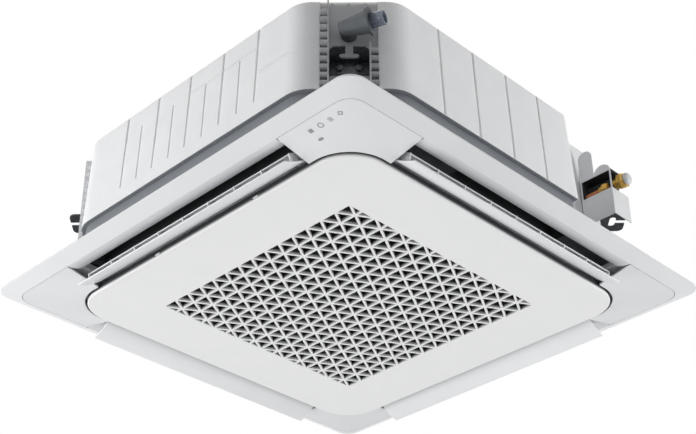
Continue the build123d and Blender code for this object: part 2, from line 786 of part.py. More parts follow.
with BuildPart() as pipe_cover:
    cover_plane = Plane(origin=(pipe_cover_x, -recess_face, ceiling), x_dir=(0, -1, 0), z_dir=(-1, 0, 0))
    low_width = pipe_cover_reach - pipe_cover_step
    with BuildSketch(cover_plane):
        with BuildLine():
            high_radius = pipe_cover_step / 2
            low_radius = low_width / 2
            Line((0, pipe_cover_bottom), (pipe_cover_reach, pipe_cover_bottom))
            Line((pipe_cover_reach, pipe_cover_bottom), (pipe_cover_reach, pipe_cover_low - low_radius))
            ThreePointArc((pipe_cover_reach, pipe_cover_low - low_radius),
                          (pipe_cover_reach - low_radius, pipe_cover_low),
                          (pipe_cover_step, pipe_cover_low - low_radius))
            Line((pipe_cover_step, pipe_cover_low - low_radius),
                 (pipe_cover_step, pipe_cover_high - high_radius))
            ThreePointArc((pipe_cover_step, pipe_cover_high - high_radius),
                          (high_radius, pipe_cover_high), (0, pipe_cover_high - high_radius))
            Line((0, pipe_cover_high - high_radius), (0, pipe_cover_bottom))
        make_face()
        window_height = pipe_window_top - pipe_window_bottom
        with Locations((pipe_cover_reach / 2, pipe_window_bottom + window_height / 2)):
            Rectangle(pipe_cover_reach - 4 * pipe_cover_sheet, window_height, mode=Mode.SUBTRACT)
    extrude(amount=-pipe_cover_sheet)
    with BuildSketch(facing(SIDES["front_right"], recess_face + pipe_cover_reach - pipe_cover_sheet)):
        with Locations((pipe_cover_x + pipe_cover_wing / 2, (pipe_cover_bottom + pipe_window_bottom) / 2)):
            Rectangle(pipe_cover_wing, pipe_window_bottom - pipe_cover_bottom)
    extrude(amount=pipe_cover_sheet)
    with BuildSketch(facing(SIDES["front_right"], recess_face)):
        with Locations((pipe_cover_x + pipe_cover_wing / 2, (pipe_cover_bottom + pipe_window_bottom) / 2)):
            Rectangle(pipe_cover_wing, pipe_window_bottom - pipe_cover_bottom - 4 * slip)
    extrude(amount=pipe_cover_sheet)
pipe_cover.part.label = "pipe_cover"
export_step(pipe_cover.part, "parts/pipe_cover.step")

# ================================================================ drain pump, float and outlet
front = CORNERS["front"]
with BuildPart() as drain_pump:
    with BuildSketch(level(front, pump_bottom)):
        with Locations((pump_diag, 0)):
            RegularPolygon(pump_radius, few_sides)
    extrude(amount=pump_top - pump_bottom)
    with BuildSketch(level(front, coil_bottom + pump_inlet_gap)):
        with Locations((pump_diag, 0)):
            RegularPolygon(pump_inlet_radius, few_sides)
    extrude(amount=pump_bottom - coil_bottom - pump_inlet_gap)
    with BuildSketch(level(front, pump_top - hanger_lip)):
        with Locations(((pump_diag + corner_wall) / 2, 0)):
            Rectangle(corner_wall - pump_diag, pump_radius)
    extrude(amount=hanger_lip)
drain_pump.part.label = "drain_pump"
export_step(drain_pump.part, "parts/drain_pump.step")

hose_out = post_back + post_plate
with BuildPart() as drain_hose:
    with BuildLine(section(front)) as hose_path:
        Polyline((pump_diag, pump_top), (pump_diag, drain_height), (hose_out, drain_height))
    with BuildSketch(level(front, pump_top)):
        with Locations((pump_diag, 0)):
            RegularPolygon(hose_radius, few_sides)
            RegularPolygon(hose_radius - hose_wall, few_sides, mode=Mode.SUBTRACT)
    sweep(path=hose_path.line, transition=Transition.RIGHT)
drain_hose.part.label = "drain_hose"
export_step(drain_hose.part, "parts/drain_hose.step")


def outlet_plane(distance):
    """Plane square to the drain outlet, at a distance along it from the boot's small end."""
    a = radians(front)
    out_dir = Vector(cos(a), sin(a), 0)
    along_dir = Vector(-sin(a), cos(a), 0)
    t = radians(drain_turn)
    heading = along_dir * cos(t) + out_dir * sin(t)
    start = out_dir * boot_out + along_dir * boot_start + Vector(0, 0, ceiling + drain_height)
    return Plane(origin=start + heading * distance, x_dir=(0, 0, 1), z_dir=heading)


with BuildPart() as drain_boot:
    small_ring = round_ring(outlet_plane(0), boot_small_radius, few_sides)
    large_ring = round_ring(outlet_plane(boot_length), boot_large_radius, few_sides)
    add(flat_loft(small_ring, large_ring))
    with BuildSketch(outlet_plane(boot_length)):
        RegularPolygon(boot_flange_radius, barrel_sides)
    extrude(amount=boot_flange)
    with BuildSketch(facing(front, hose_out, drain_height)):
        RegularPolygon(boot_small_radius, few_sides)
    extrude(amount=boot_out - hose_out)
    with BuildSketch(outlet_plane(boot_length + boot_flange)):
        Circle(drain_tube_radius - drain_tube_step + pin_clearance)
    extrude(amount=-boot_flange - drain_tube_grip, mode=Mode.SUBTRACT)
drain_boot.part.label = "drain_boot"
export_step(drain_boot.part, "parts/drain_boot.step")

with BuildPart() as drain_tube:
    with BuildSketch(outlet_plane(boot_length - drain_tube_grip)):
        Circle(drain_tube_radius - drain_tube_step)
    extrude(amount=drain_tube_length)
    with BuildSketch(outlet_plane(boot_length + boot_flange + slip)):
        Circle(drain_tube_radius)
    extrude(amount=drain_tube_length - drain_tube_grip - boot_flange - slip)
    with BuildSketch(outlet_plane(boot_length - drain_tube_grip)):
        RegularPolygon(drain_tube_radius - drain_tube_wall, barrel_sides)
    extrude(amount=drain_tube_length, mode=Mode.SUBTRACT)
drain_tube.part.label = "drain_tube"
export_step(drain_tube.part, "parts/drain_tube.step")

with BuildPart() as float_stem:
    with BuildSketch(level(front, coil_bottom)):
        with Locations((float_diag, float_side)):
            RegularPolygon(float_stem_radius, few_sides)
    extrude(amount=pump_top - coil_bottom)
    with BuildSketch(level(front, float_rest - slip)):
        with Locations((float_diag, float_side)):
            Rectangle(2 * (float_stem_radius + float_stop), 2 * (float_stem_radius + float_stop))
    extrude(amount=-float_stop)
    with BuildSketch(level(front, float_rest + float_height + float_travel + slip)):
        with Locations((float_diag, float_side)):
            Rectangle(2 * (float_stem_radius + float_stop), 2 * (float_stem_radius + float_stop))
    extrude(amount=float_stop)
    with BuildSketch(level(front, pump_top - float_arm)):
        with Locations(((float_diag + corner_wall) / 2, float_side)):
            Rectangle(corner_wall - float_diag, float_arm)
    extrude(amount=float_arm)
float_stem.part.label = "float_stem"
export_step(float_stem.part, "parts/float_stem.step")

with BuildPart() as float_ring:
    with BuildSketch(level(front, float_rest)):
        with Locations((float_diag, float_side)):
            RegularPolygon(float_radius, few_sides)
            RegularPolygon(float_stem_radius + slip, few_sides, mode=Mode.SUBTRACT)
    extrude(amount=float_height)
float_ring.part.label = "float_ring"
export_step(float_ring.part, "parts/float_ring.step")

# ================================================================ fan and motor
with BuildPart() as fan_motor:
    with BuildSketch(above(motor_bottom)):
        RegularPolygon(motor_radius - motor_step, barrel_sides)
    extrude(amount=motor_step)
    with BuildSketch(above(motor_bottom + motor_step)):
        RegularPolygon(motor_radius, barrel_sides)
    extrude(amount=motor_top - motor_bottom - motor_step)
    with BuildSketch(above(motor_top)):
        Rectangle(motor_flange_size, motor_flange_size)
    extrude(amount=-motor_flange)
    with BuildSketch(above(motor_bottom)):
        RegularPolygon(motor_shaft_radius, few_sides)
    extrude(amount=motor_shaft_end - motor_bottom)
fan_motor.part.label = "fan_motor"
export_step(fan_motor.part, "parts/fan_motor.step")

with BuildPart() as motor_mounts:
    with BuildSketch(above(motor_top)):
        with GridLocations(mount_pitch, mount_pitch, 2, 2):
            Rectangle(2 * mount_half, 2 * mount_half)
    extrude(amount=mount_height)
motor_mounts.part.label = "motor_mounts"
export_step(motor_mounts.part, "parts/motor_mounts.step")

with BuildPart() as motor_bracket:
    bracket_height = motor_top + mount_height
    with BuildSketch(above(bracket_height)):
        Rectangle(bracket_size, bracket_size)
        Rectangle(motor_radius, motor_radius, mode=Mode.SUBTRACT)
    extrude(amount=bracket_thickness)
    with BuildSketch(above(bracket_height)):
        with GridLocations(bracket_size - bracket_foot, bracket_size - bracket_foot, 2, 2):
            Rectangle(bracket_foot, bracket_foot)
    extrude(amount=top_plate_height - bracket_height)
motor_bracket.part.label = "motor_bracket"
export_step(motor_bracket.part, "parts/motor_bracket.step")

def blade_outline():
    """Backward-swept, bowed blade of the impeller, seen from below, cut square at both ends."""
    bow = (blade_inner + blade_outer) / 2 + blade_bow
    edges = []
    for skin in (0, blade_thickness):
        points = []
        for reach, sweep_share in ((blade_inner, 0), (bow, 0.5), (blade_outer, 1)):
            turn = radians(blade_sweep * sweep_share)
            lean = radians(blade_lean)
            shift = (skin * sin(lean), -skin * cos(lean))
            points.append((reach * cos(turn) + shift[0], reach * sin(turn) + shift[1]))
        edges.append(points)
    near, far = edges
    with BuildSketch() as outline:
        with BuildLine():
            ThreePointArc(*near)
            Line(near[2], far[2])
            ThreePointArc(*far)
            Line(far[0], near[0])
        make_face()
    return outline.sketch


with BuildPart() as fan_impeller:
    for grow, mode in ((fan_wall, Mode.ADD), (0, Mode.SUBTRACT)):
        with BuildSketch(above(fan_bottom)):
            RegularPolygon(fan_inlet + grow, ring_sides)
        extrude(amount=shroud_neck, mode=mode)
        neck_ring = round_ring(above(fan_bottom + shroud_neck), fan_inlet + grow, ring_sides)
        rim_ring = round_ring(above(fan_bottom + shroud_height), fan_radius - fan_wall + grow, ring_sides)
        add(flat_loft(neck_ring, rim_ring), mode=mode)
    with BuildSketch(above(fan_back)):
        RegularPolygon(fan_radius, ring_sides)
    extrude(amount=-fan_wall)
    for grow, mode in ((fan_wall, Mode.ADD), (0, Mode.SUBTRACT)):
        nose_height = hub_nose_height - (hub_wall if grow else 0)
        nose_ring = round_ring(above(nose_height), hub_nose + grow, ring_sides)
        back_ring = round_ring(above(fan_back - grow), hub_radius + grow, ring_sides)
        add(flat_loft(nose_ring, back_ring), mode=mode)
    with BuildSketch(above(hub_nose_height)):
        RegularPolygon(hub_bore, few_sides)
    extrude(amount=-hub_wall, mode=Mode.SUBTRACT)
    with BuildSketch(above(fan_bottom + shroud_height - fan_wall)):
        with PolarLocations(0, fan_blades):
            add(blade_outline())
    extrude(amount=fan_back - fan_bottom - shroud_height + fan_wall / 2)
fan_impeller.part.label = "fan_impeller"
export_step(fan_impeller.part, "parts/fan_impeller.step")

with BuildPart() as fan_nut:
    with BuildSketch(above(hub_nose_height - hub_wall)):
        RegularPolygon(fan_nut_radius, 6)
        RegularPolygon(hub_bore, few_sides, mode=Mode.SUBTRACT)
    extrude(amount=-fan_nut_height)
fan_nut.part.label = "fan_nut"
export_step(fan_nut.part, "parts/fan_nut.step")

# ================================================================ control box
box_middle = (box_near + box_far) / 2
box_width = box_far - box_near
with BuildPart() as control_box:
    with BuildSketch(above(unit_bottom)):
        with Locations((0, -box_middle)):
            Rectangle(2 * box_half_length, box_width)
    extrude(amount=box_top - unit_bottom)
    with BuildSketch(above(unit_bottom)):
        with Locations((0, -box_middle)):
            Rectangle(2 * (box_half_length - box_wall), box_width - 2 * box_wall)
    extrude(amount=box_top - unit_bottom - box_wall, mode=Mode.SUBTRACT)
    with BuildSketch(Plane(origin=(box_half_length, -box_middle, ceiling + box_top - cable_hole_drop),
                           x_dir=(0, 1, 0), z_dir=(1, 0, 0))):
        RegularPolygon(cable_hole_radius, few_sides)
    extrude(amount=-2 * box_wall, mode=Mode.SUBTRACT)
control_box.part.label = "control_box"
export_step(control_box.part, "parts/control_box.step")

with BuildPart() as control_cover:
    with BuildSketch(above(unit_bottom)):
        with Locations((0, -box_middle)):
            RectangleRounded(2 * (box_half_length + box_cover_overlap), box_width + 2 * box_cover_overlap,
                             box_cover_overlap)
    extrude(amount=-box_wall)
control_cover.part.label = "control_cover"
export_step(control_cover.part, "parts/control_cover.step")

board_height = box_top - box_wall - board_standoff - board_thickness
with BuildPart() as control_board:
    with BuildSketch(above(board_height)):
        with Locations((-board_shift, -box_middle)):
            Rectangle(board_length, box_width - 4 * box_wall)
    extrude(amount=board_thickness)
    with BuildSketch(above(board_height + board_thickness)):
        with Locations((-board_shift, -box_middle)):
            foot_width = box_width - 4 * box_wall - 2 * board_foot
            with GridLocations(board_length - 2 * board_foot, foot_width, 2, 2):
                Rectangle(board_foot, board_foot)
    extrude(amount=board_standoff)
    with BuildSketch(above(board_height)):
        with Locations((-relay_side, -box_middle)):
            Rectangle(relay_length, relay_width)
        with Locations((-capacitor_side, -box_middle)):
            Rectangle(capacitor_length, capacitor_width)
    extrude(amount=-component_height)
control_board.part.label = "control_board"
export_step(control_board.part, "parts/control_board.step")

with BuildPart() as terminal_block:
    block_length = terminal_count * terminal_width
    with BuildSketch(above(box_top - box_wall)):
        with Locations((terminal_side, -box_middle)):
            Rectangle(block_length, terminal_depth)
    extrude(amount=-terminal_height)
    with BuildSketch(above(box_top - box_wall - terminal_height)):
        with Locations((terminal_side, -box_middle)):
            with GridLocations(terminal_width, 0, terminal_count + 1, 1):
                Rectangle(terminal_barrier, terminal_depth)
    extrude(amount=-terminal_barrier_height)
terminal_block.part.label = "terminal_block"
export_step(terminal_block.part, "parts/terminal_block.step")

# ================================================================ decoration panel frame
rim_half = panel_size / 2
latch_foot_low = grille_face + grille_skin + latch_height + 2 * slip
latch_foot_high = latch_foot_low + hook_height
with BuildPart() as panel_frame:
    edge_ring = square_ring(rim_half, panel_corner_radius, -rim_edge)
    add(flat_loft(edge_ring, square_ring(rim_half, panel_corner_radius, 0)))
    add(flat_loft(square_ring(rim_inner, seam_corner, -rim_drop), edge_ring))
    with BuildSketch(above(0)):
        RectangleRounded(2 * collar_half, 2 * collar_half, panel_corner_radius)
    extrude(amount=collar_top)
    with BuildSketch(above(-rim_drop)):
        Rectangle(2 * slot_inner, 2 * slot_inner)
    extrude(amount=centre_floor + rim_drop, mode=Mode.SUBTRACT)
    with BuildSketch(above(-rim_drop)):
        add(square_outline(rim_inner, seam_corner))
        Rectangle(2 * rim_inner, 2 * slot_half_length, mode=Mode.SUBTRACT)
        Rectangle(2 * slot_half_length, 2 * rim_inner, mode=Mode.SUBTRACT)
    extrude(amount=corner_floor + rim_drop, mode=Mode.SUBTRACT)
    with BuildSketch(above(-rim_drop)):
        RectangleRounded(2 * intake_half, 2 * intake_half, intake_corner)
    extrude(amount=rim_drop + collar_top, mode=Mode.SUBTRACT)
    for angle in SIDES.values():
        with BuildSketch(section(angle)):
            with BuildLine():
                flare_foot = (rim_inner, -rim_drop)
                flare_top = (slot_outer, slot_flare_height)
                Line((slot_inner, -rim_drop), flare_foot)
                EllipticalCenterArc((rim_inner, slot_flare_height), rim_inner - slot_outer,
                                    slot_flare_height + rim_drop, start_angle=180, arc_size=90)
                Line(flare_top, (slot_outer, collar_top))
                Line((slot_outer, collar_top), (slot_inner, collar_top))
                Line((slot_inner, collar_top), (slot_inner, -rim_drop))
            make_face()
        extrude(amount=slot_half_length, both=True, mode=Mode.SUBTRACT)
    for angle in SIDES.values():
        for end in (-1, 1):
            block_start = vane_half_length + bearing_gap
            block_middle = end * (block_start + bearing_length / 2)
            with BuildSketch(section(angle, block_middle)):
                bearing_foot = vane_hinge_height - bearing_half
                with Locations((vane_hinge_out, (corner_floor + bearing_foot) / 2)):
                    Rectangle(2 * bearing_half, corner_floor - bearing_foot)
                with Locations((vane_hinge_out, vane_hinge_height)):
                    RegularPolygon(vane_pin_radius + pin_clearance, few_sides, major_radius=False,
                                   mode=Mode.SUBTRACT)
            extrude(amount=bearing_length / 2, both=True)
    for end in (-1, 1):
        with BuildSketch(section(SIDES["back_right"], end * hinge_side)):
            with Locations((hinge_out, (centre_floor + hinge_height) / 2)):
                Rectangle(2 * hinge_lug_half, centre_floor - hinge_height)
            with Locations((hinge_out, hinge_height)):
                Circle(hinge_lug_half)
                RegularPolygon(hinge_pin_radius + pin_clearance, few_sides, major_radius=False,
                               mode=Mode.SUBTRACT)
        extrude(amount=hinge_lug / 2, both=True)
        with BuildSketch(level(SIDES["front_left"], centre_floor)):
            with Locations((latch_back + latch_length / 2, end * latch_side)):
                Rectangle(hook_post, hook_post)
        extrude(amount=latch_foot_low - centre_floor)
        with BuildSketch(level(SIDES["front_left"], latch_foot_low)):
            with Locations((latch_back + latch_length / 2, end * latch_side + latch_travel / 2)):
                Rectangle(hook_post, hook_post + latch_travel)
        extrude(amount=hook_height)
    with BuildSketch(above(corner_floor)):
        with PolarLocations(screw_diag, 4, start_angle=45):
            RegularPolygon(screw_radius + slip, few_sides)
    extrude(amount=collar_top - corner_floor, mode=Mode.SUBTRACT)
panel_frame.part.label = "panel_frame"
export_step(panel_frame.part, "parts/panel_frame.step")

with BuildPart() as panel_gasket:
    with BuildSketch(above(collar_top)):
        add(cabinet_outline(casing_inset))
        add(cabinet_outline(casing_inset + gasket_width), mode=Mode.SUBTRACT)
        inner_ring = 2 * (pan_opening_half + 2 * gasket_width)
        Rectangle(inner_ring, inner_ring)
        Rectangle(inner_ring - 2 * gasket_width, inner_ring - 2 * gasket_width, mode=Mode.SUBTRACT)
    extrude(amount=unit_bottom - collar_top)
panel_gasket.part.label = "panel_gasket"
export_step(panel_gasket.part, "parts/panel_gasket.step")

with BuildPart() as panel_screws:
    with BuildSketch(above(corner_floor)):
        with PolarLocations(screw_diag, 4, start_angle=45):
            RegularPolygon(screw_head_radius, 6)
    extrude(amount=-screw_head_height)
    with BuildSketch(above(corner_floor)):
        with PolarLocations(screw_diag, 4, start_angle=45):
            RegularPolygon(screw_radius, few_sides)
    extrude(amount=screw_length)
panel_screws.part.label = "panel_screws"
export_step(panel_screws.part, "parts/panel_screws.step")


# ================================================================ corner covers
def cover_block(drop):
    """Sloping block whose underside falls from the seam in to the grille, moved up by drop."""
    seam_half = rim_inner - cover_seam
    with BuildPart() as block:
        seam_ring = square_ring(seam_half, seam_corner, drop - rim_drop)
        grille_ring = square_ring(grille_half, grille_corner, drop - rim_drop - cover_inner_drop)
        add(flat_loft(grille_ring, seam_ring))
        add(flat_loft(seam_ring, square_ring(seam_half, seam_corner, drop)))
    return block.part


sloping_block = cover_block(0)
raised_block = cover_block(cover_skin)
cover_reach = rim_inner - cover_start
for corner, angle in CORNERS.items():
    middle = cover_start + cover_reach / 2
    sign_x = 1 if cos(radians(angle)) > 0 else -1
    sign_y = 1 if sin(radians(angle)) > 0 else -1
    with BuildPart() as corner_cover:
        with BuildSketch(above(grille_face)):
            with Locations((sign_x * middle, sign_y * middle)):
                Rectangle(cover_reach, cover_reach)
            opening = 2 * (grille_half + grille_gap)
            RectangleRounded(opening, opening, grille_corner + grille_gap, mode=Mode.SUBTRACT)
        extrude(amount=-rim_drop + rim_edge - grille_face)
        add(sloping_block, mode=Mode.INTERSECT)
        add(raised_block, mode=Mode.SUBTRACT)
        with BuildSketch(level(angle, corner_floor - slip)):
            with GridLocations(0, 2 * cover_post_side, 1, 2):
                with Locations((cover_post_diag, 0)):
                    Rectangle(2 * cover_post_half, 2 * cover_post_half)
        extrude(amount=-cover_post_length)
    corner_cover.part.label = f"corner_cover_{corner}"
    export_step(corner_cover.part, f"parts/corner_cover_{corner}.step")

# ================================================================ display
with BuildPart() as display_board:
    with BuildSketch(level(CORNERS["front"], display_height)):
        with Locations((display_diag, 0)):
            Rectangle(display_width, display_length)
    extrude(amount=display_thickness)
    with BuildSketch(level(CORNERS["front"], display_height + display_thickness)):
        with Locations((display_diag, 0)):
            with GridLocations(0, display_length - 2 * display_post, 1, 2):
                Rectangle(2 * display_post, 2 * display_post)
    extrude(amount=corner_floor - display_height - display_thickness)
display_board.part.label = "display_board"
export_step(display_board.part, "parts/display_board.step")

# ================================================================ vanes
def vane_plane(angle, along):
    """Section plane at a vane's hinge, turned so that x and y are those of the shut vane."""
    flat = section(angle, along)
    hinge = flat.origin + flat.x_dir * vane_hinge_out + flat.y_dir * vane_hinge_height
    turn = radians(vane_rest_angle)
    shut_out = flat.x_dir * cos(turn) - flat.y_dir * sin(turn)
    return Plane(origin=hinge, x_dir=shut_out, z_dir=flat.z_dir)


def blade_profile(inner, outer, sag, skin):
    """Closed outline of a thin blade between two edges, bowed downwards; the edges are (x, y) pairs."""
    middle = ((inner[0] + outer[0]) / 2, (inner[1] + outer[1]) / 2 - sag)
    lower, upper = [[(x, y + shift) for x, y in (inner, middle, outer)] for shift in (-skin / 2, skin / 2)]
    with BuildSketch() as blade:
        with BuildLine():
            ThreePointArc(*lower)
            Line(lower[2], upper[2])
            ThreePointArc(*upper)
            Line(upper[0], lower[0])
        make_face()
    return blade.sketch


for side, angle in SIDES.items():
    with BuildPart() as vane:
        with BuildSketch(vane_plane(angle, 0)):
            add(blade_profile((blade_in_x, blade_in_z), (blade_out_x, blade_out_z), blade_sag, blade_thick))
        extrude(amount=vane_half_length, both=True)
        with BuildSketch(vane_plane(angle, 0)):
            add(blade_profile((upper_in_x, upper_in_z), (upper_out_x, upper_out_z), upper_sag, upper_thick))
        extrude(amount=vane_half_length - upper_short, both=True)
        rib_span = 2 * (vane_half_length - vane_rib / 2) / (vane_rib_count - 1)
        for n in range(vane_rib_count):
            along = -vane_half_length + vane_rib / 2 + n * rib_span
            with BuildSketch(vane_plane(angle, along)):
                with BuildLine():
                    Polyline(
                        (blade_in_x + blade_thick, blade_in_z),
                        (upper_in_x, upper_in_z),
                        (upper_out_x, upper_out_z),
                        (rib_foot, (blade_in_z + blade_out_z) / 2 - blade_sag),
                        close=True,
                    )
                make_face()
            extrude(amount=vane_rib / 2, both=True)
        with BuildSketch(vane_plane(angle, vane_half_length)):
            RegularPolygon(vane_pin_radius, few_sides)
        extrude(amount=-vane_pin_length)
        with BuildSketch(vane_plane(angle, -vane_half_length)):
            RegularPolygon(vane_pin_radius, few_sides)
        extrude(amount=vane_pin_length)
    vane.part.label = f"vane_{side}"
    export_step(vane.part, f"parts/vane_{side}.step")

    motor_start = vane_half_length + vane_pin_length + motor_gap
    with BuildPart() as vane_motor:
        with BuildSketch(section(angle, motor_start)):
            with Locations((vane_hinge_out, vane_hinge_height)):
                RegularPolygon(step_motor_radius, few_sides)
            with Locations((vane_hinge_out, (vane_hinge_height + corner_floor) / 2)):
                Rectangle(step_motor_radius, corner_floor - vane_hinge_height)
        extrude(amount=-step_motor_length)
    vane_motor.part.label = f"vane_motor_{side}"
    export_step(vane_motor.part, f"parts/vane_motor_{side}.step")

# ================================================================ centre grille
cell_pitch = 2 * lattice_half / lattice_cells
row_pitch = 2 * lattice_half / lattice_rows


def inset_triangle(a, b, c, margin):
    """Triangle whose sides lie a margin inside those of a, b, c."""
    opposite = (dist(b, c), dist(c, a), dist(a, b))
    around = sum(opposite)
    doubled_area = abs((b[0] - a[0]) * (c[1] - a[1]) - (c[0] - a[0]) * (b[1] - a[1]))
    centre = [sum(side * p[k] for side, p in zip(opposite, (a, b, c))) / around for k in (0, 1)]
    shrink = 1 - margin * around / doubled_area
    return [tuple(centre[k] + (p[k] - centre[k]) * shrink for k in (0, 1)) for p in (a, b, c)]


def lattice_triangles():
    """Corners of every triangle between the centre lines of the three families of bars."""
    for row in range(lattice_rows):
        borders = (-lattice_half + row * row_pitch, -lattice_half + (row + 1) * row_pitch)
        for base_side in (0, 1):
            shifted = (row + base_side) % 2
            for cell in range(lattice_cells + shifted):
                low = -lattice_half + (cell - shifted / 2) * cell_pitch
                high = low + cell_pitch
                base_low = (borders[base_side], max(low, -lattice_half))
                base_high = (borders[base_side], min(high, lattice_half))
                yield base_low, base_high, (borders[1 - base_side], (low + high) / 2)


lattice_frame_half = lattice_half + 2 * lattice_bar
lattice_border = Wire.make_rect(2 * lattice_frame_half, 2 * lattice_frame_half)
lattice_holes = [
    Wire.make_polygon(inset_triangle(*corners, lattice_bar / 2)) for corners in lattice_triangles()
]
lattice_face = Face(lattice_border, lattice_holes)

with BuildPart() as grille_panel:
    with BuildSketch(above(grille_face)):
        RectangleRounded(2 * grille_half, 2 * grille_half, grille_corner)
    extrude(amount=grille_skirt_top - grille_face)
    chamfer(grille_panel.faces().sort_by(Axis.Z)[0].edges(), length=grille_edge_bevel)
    with BuildSketch(above(grille_face + grille_skin)):
        inner_size = 2 * (grille_half - grille_skin)
        RectangleRounded(inner_size, inner_size, grille_corner - grille_skin)
    extrude(amount=grille_skirt_top - grille_face, mode=Mode.SUBTRACT)
    with BuildSketch(above(grille_face)):
        Rectangle(2 * lattice_frame_half, 2 * lattice_frame_half)
    extrude(amount=grille_skin, mode=Mode.SUBTRACT)
    with BuildSketch(above(grille_face)):
        add(lattice_face)
    extrude(amount=lattice_depth)
    for end in (-1, 1):
        with BuildSketch(above(grille_face + grille_skin)):
            with Locations((grille_half, end * hinge_side)):
                Rectangle(4 * grille_skin, hinge_lug + 2 * hinge_notch)
        extrude(amount=grille_skirt_top - grille_face, mode=Mode.SUBTRACT)
        for flank in (-1, 1):
            ear_middle = end * hinge_side + flank * (hinge_lug + 2 * slip + hinge_ear) / 2
            with BuildSketch(section(SIDES["back_right"], ear_middle)):
                ear_top = hinge_height + hinge_lug_half
                with Locations((hinge_out, (ear_top + grille_face + grille_skin) / 2)):
                    Rectangle(2 * hinge_lug_half, ear_top - grille_face - grille_skin)
                with Locations((hinge_out, hinge_height)):
                    RegularPolygon(hinge_pin_radius + pin_clearance / 5, few_sides, mode=Mode.SUBTRACT)
            extrude(amount=hinge_ear / 2, both=True)
        with BuildSketch(level(SIDES["front_left"], grille_face + grille_skin + slip)):
            with Locations((grille_half, end * latch_side + latch_tab_side - latch_travel / 2)):
                Rectangle(4 * grille_skin, latch_tab + latch_travel + 2 * slip)
        extrude(amount=latch_height + slip, mode=Mode.SUBTRACT)
grille_panel.part.label = "grille_panel"
export_step(grille_panel.part, "parts/grille_panel.step")

with BuildPart() as hinge_pins:
    for end in (-1, 1):
        with BuildSketch(section(SIDES["back_right"], end * hinge_side)):
            with Locations((hinge_out, hinge_height)):
                RegularPolygon(hinge_pin_radius, few_sides)
        extrude(amount=hinge_lug / 2 + slip + hinge_ear, both=True)
hinge_pins.part.label = "hinge_pins"
export_step(hinge_pins.part, "parts/hinge_pins.step")

with BuildPart() as air_filter:
    with BuildSketch(above(grille_face + lattice_depth)):
        Rectangle(2 * filter_half, 2 * filter_half)
        window = (2 * filter_half - 2 * filter_frame - (filter_ribs - 1) * filter_rib) / filter_ribs
        with GridLocations(window + filter_rib, window + filter_rib, filter_ribs, filter_ribs):
            Rectangle(window, window, mode=Mode.SUBTRACT)
    extrude(amount=filter_thickness)
    with BuildSketch(above(grille_face + lattice_depth + filter_thickness / 2)):
        Rectangle(2 * filter_half - filter_frame, 2 * filter_half - filter_frame)
    extrude(amount=filter_mesh)
air_filter.part.label = "air_filter"
export_step(air_filter.part, "parts/air_filter.step")

latch_floor = grille_face + grille_skin + slip
hook_level = latch_foot_high + slip
hook_front = hook_post / 2 + latch_travel + slip
for name, end in (("grille_latch_right", -1), ("grille_latch_left", 1)):
    with BuildPart() as grille_latch:
        post_place = latch_back + latch_length / 2
        with BuildSketch(level(SIDES["front_left"], latch_floor)):
            slider_side = end * latch_side + latch_tab_side / 2
            with Locations((post_place, slider_side)):
                Rectangle(latch_length, latch_tab_side + latch_tab)
            tab_out = grille_half + latch_proud
            with Locations(((post_place + tab_out) / 2, end * latch_side + latch_tab_side)):
                Rectangle(tab_out - post_place, latch_tab)
        extrude(amount=latch_height)
        with BuildSketch(level(SIDES["front_left"], latch_floor)):
            arm_side = end * latch_side + hook_front + latch_travel + latch_arm / 2
            with Locations((post_place, arm_side)):
                Rectangle(latch_length / 2, latch_arm)
        extrude(amount=hook_level - latch_floor)
        with BuildSketch(level(SIDES["front_left"], hook_level)):
            hook_middle = end * latch_side + hook_front + (latch_travel + latch_arm) / 2
            with Locations((post_place, hook_middle)):
                Rectangle(latch_length / 2, latch_travel + latch_arm)
        extrude(amount=latch_height)
    grille_latch.part.label = name
    export_step(grille_latch.part, f"parts/{name}.step")
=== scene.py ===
import logging
import math
from dataclasses import dataclass
from enum import Enum
from typing import Any, Callable, Sequence

import bpy
from mathutils import Matrix, Vector


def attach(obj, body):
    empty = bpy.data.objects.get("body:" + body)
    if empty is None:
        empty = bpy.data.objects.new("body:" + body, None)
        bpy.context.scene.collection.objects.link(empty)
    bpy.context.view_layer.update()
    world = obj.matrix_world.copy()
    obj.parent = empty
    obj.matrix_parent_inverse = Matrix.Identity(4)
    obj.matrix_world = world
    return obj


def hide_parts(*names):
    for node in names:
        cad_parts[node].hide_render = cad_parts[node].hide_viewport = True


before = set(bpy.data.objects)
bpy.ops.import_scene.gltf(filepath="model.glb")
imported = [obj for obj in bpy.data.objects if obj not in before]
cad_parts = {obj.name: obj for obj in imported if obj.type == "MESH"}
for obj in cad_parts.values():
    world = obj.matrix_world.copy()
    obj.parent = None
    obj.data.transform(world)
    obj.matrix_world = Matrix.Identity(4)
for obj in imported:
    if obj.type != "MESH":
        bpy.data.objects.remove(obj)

# Four-way ceiling cassette air conditioner, dressed for a studio view from below.
# Lengths are in metres unless a name ends in _mm. +Z points up to the roof slab, and the origin
# is the centre of the four hanger slots, 150 mm above the finished ceiling.

LOG = logging.getLogger("cassette")
MM = 0.001
CEILING = -0.150
WHITE = (1.0, 1.0, 1.0, 1.0)
HEXAGON = 6

# Points closer than this are merged into one, and points this near to a level lie on it.
WELD = 1e-6
LEVEL_REACH = 1e-5

# Samples of the shading that finds crevices and rounds edges: enough for a calm picture.
CREVICE_SAMPLES = 6
EDGE_SAMPLES = 4
# A surface's gloss drifts by this share, in patches this much finer than those of its colour.
GLOSS_DRIFT = 0.12
GLOSS_FINER = 2.5

# Sides of the panel, with the turn in degrees that brings +Y to each, and its corners.
SIDES = {"back_right": -90, "back_left": 0, "front_left": 90, "front_right": 180}
CORNERS = ("front", "left", "back", "right")

Socket = bpy.types.NodeSocket
Tree = bpy.types.NodeTree
Node = bpy.types.Node
Piece = bpy.types.Object
Pair = tuple[float, float]
Triple = tuple[float, float, float]


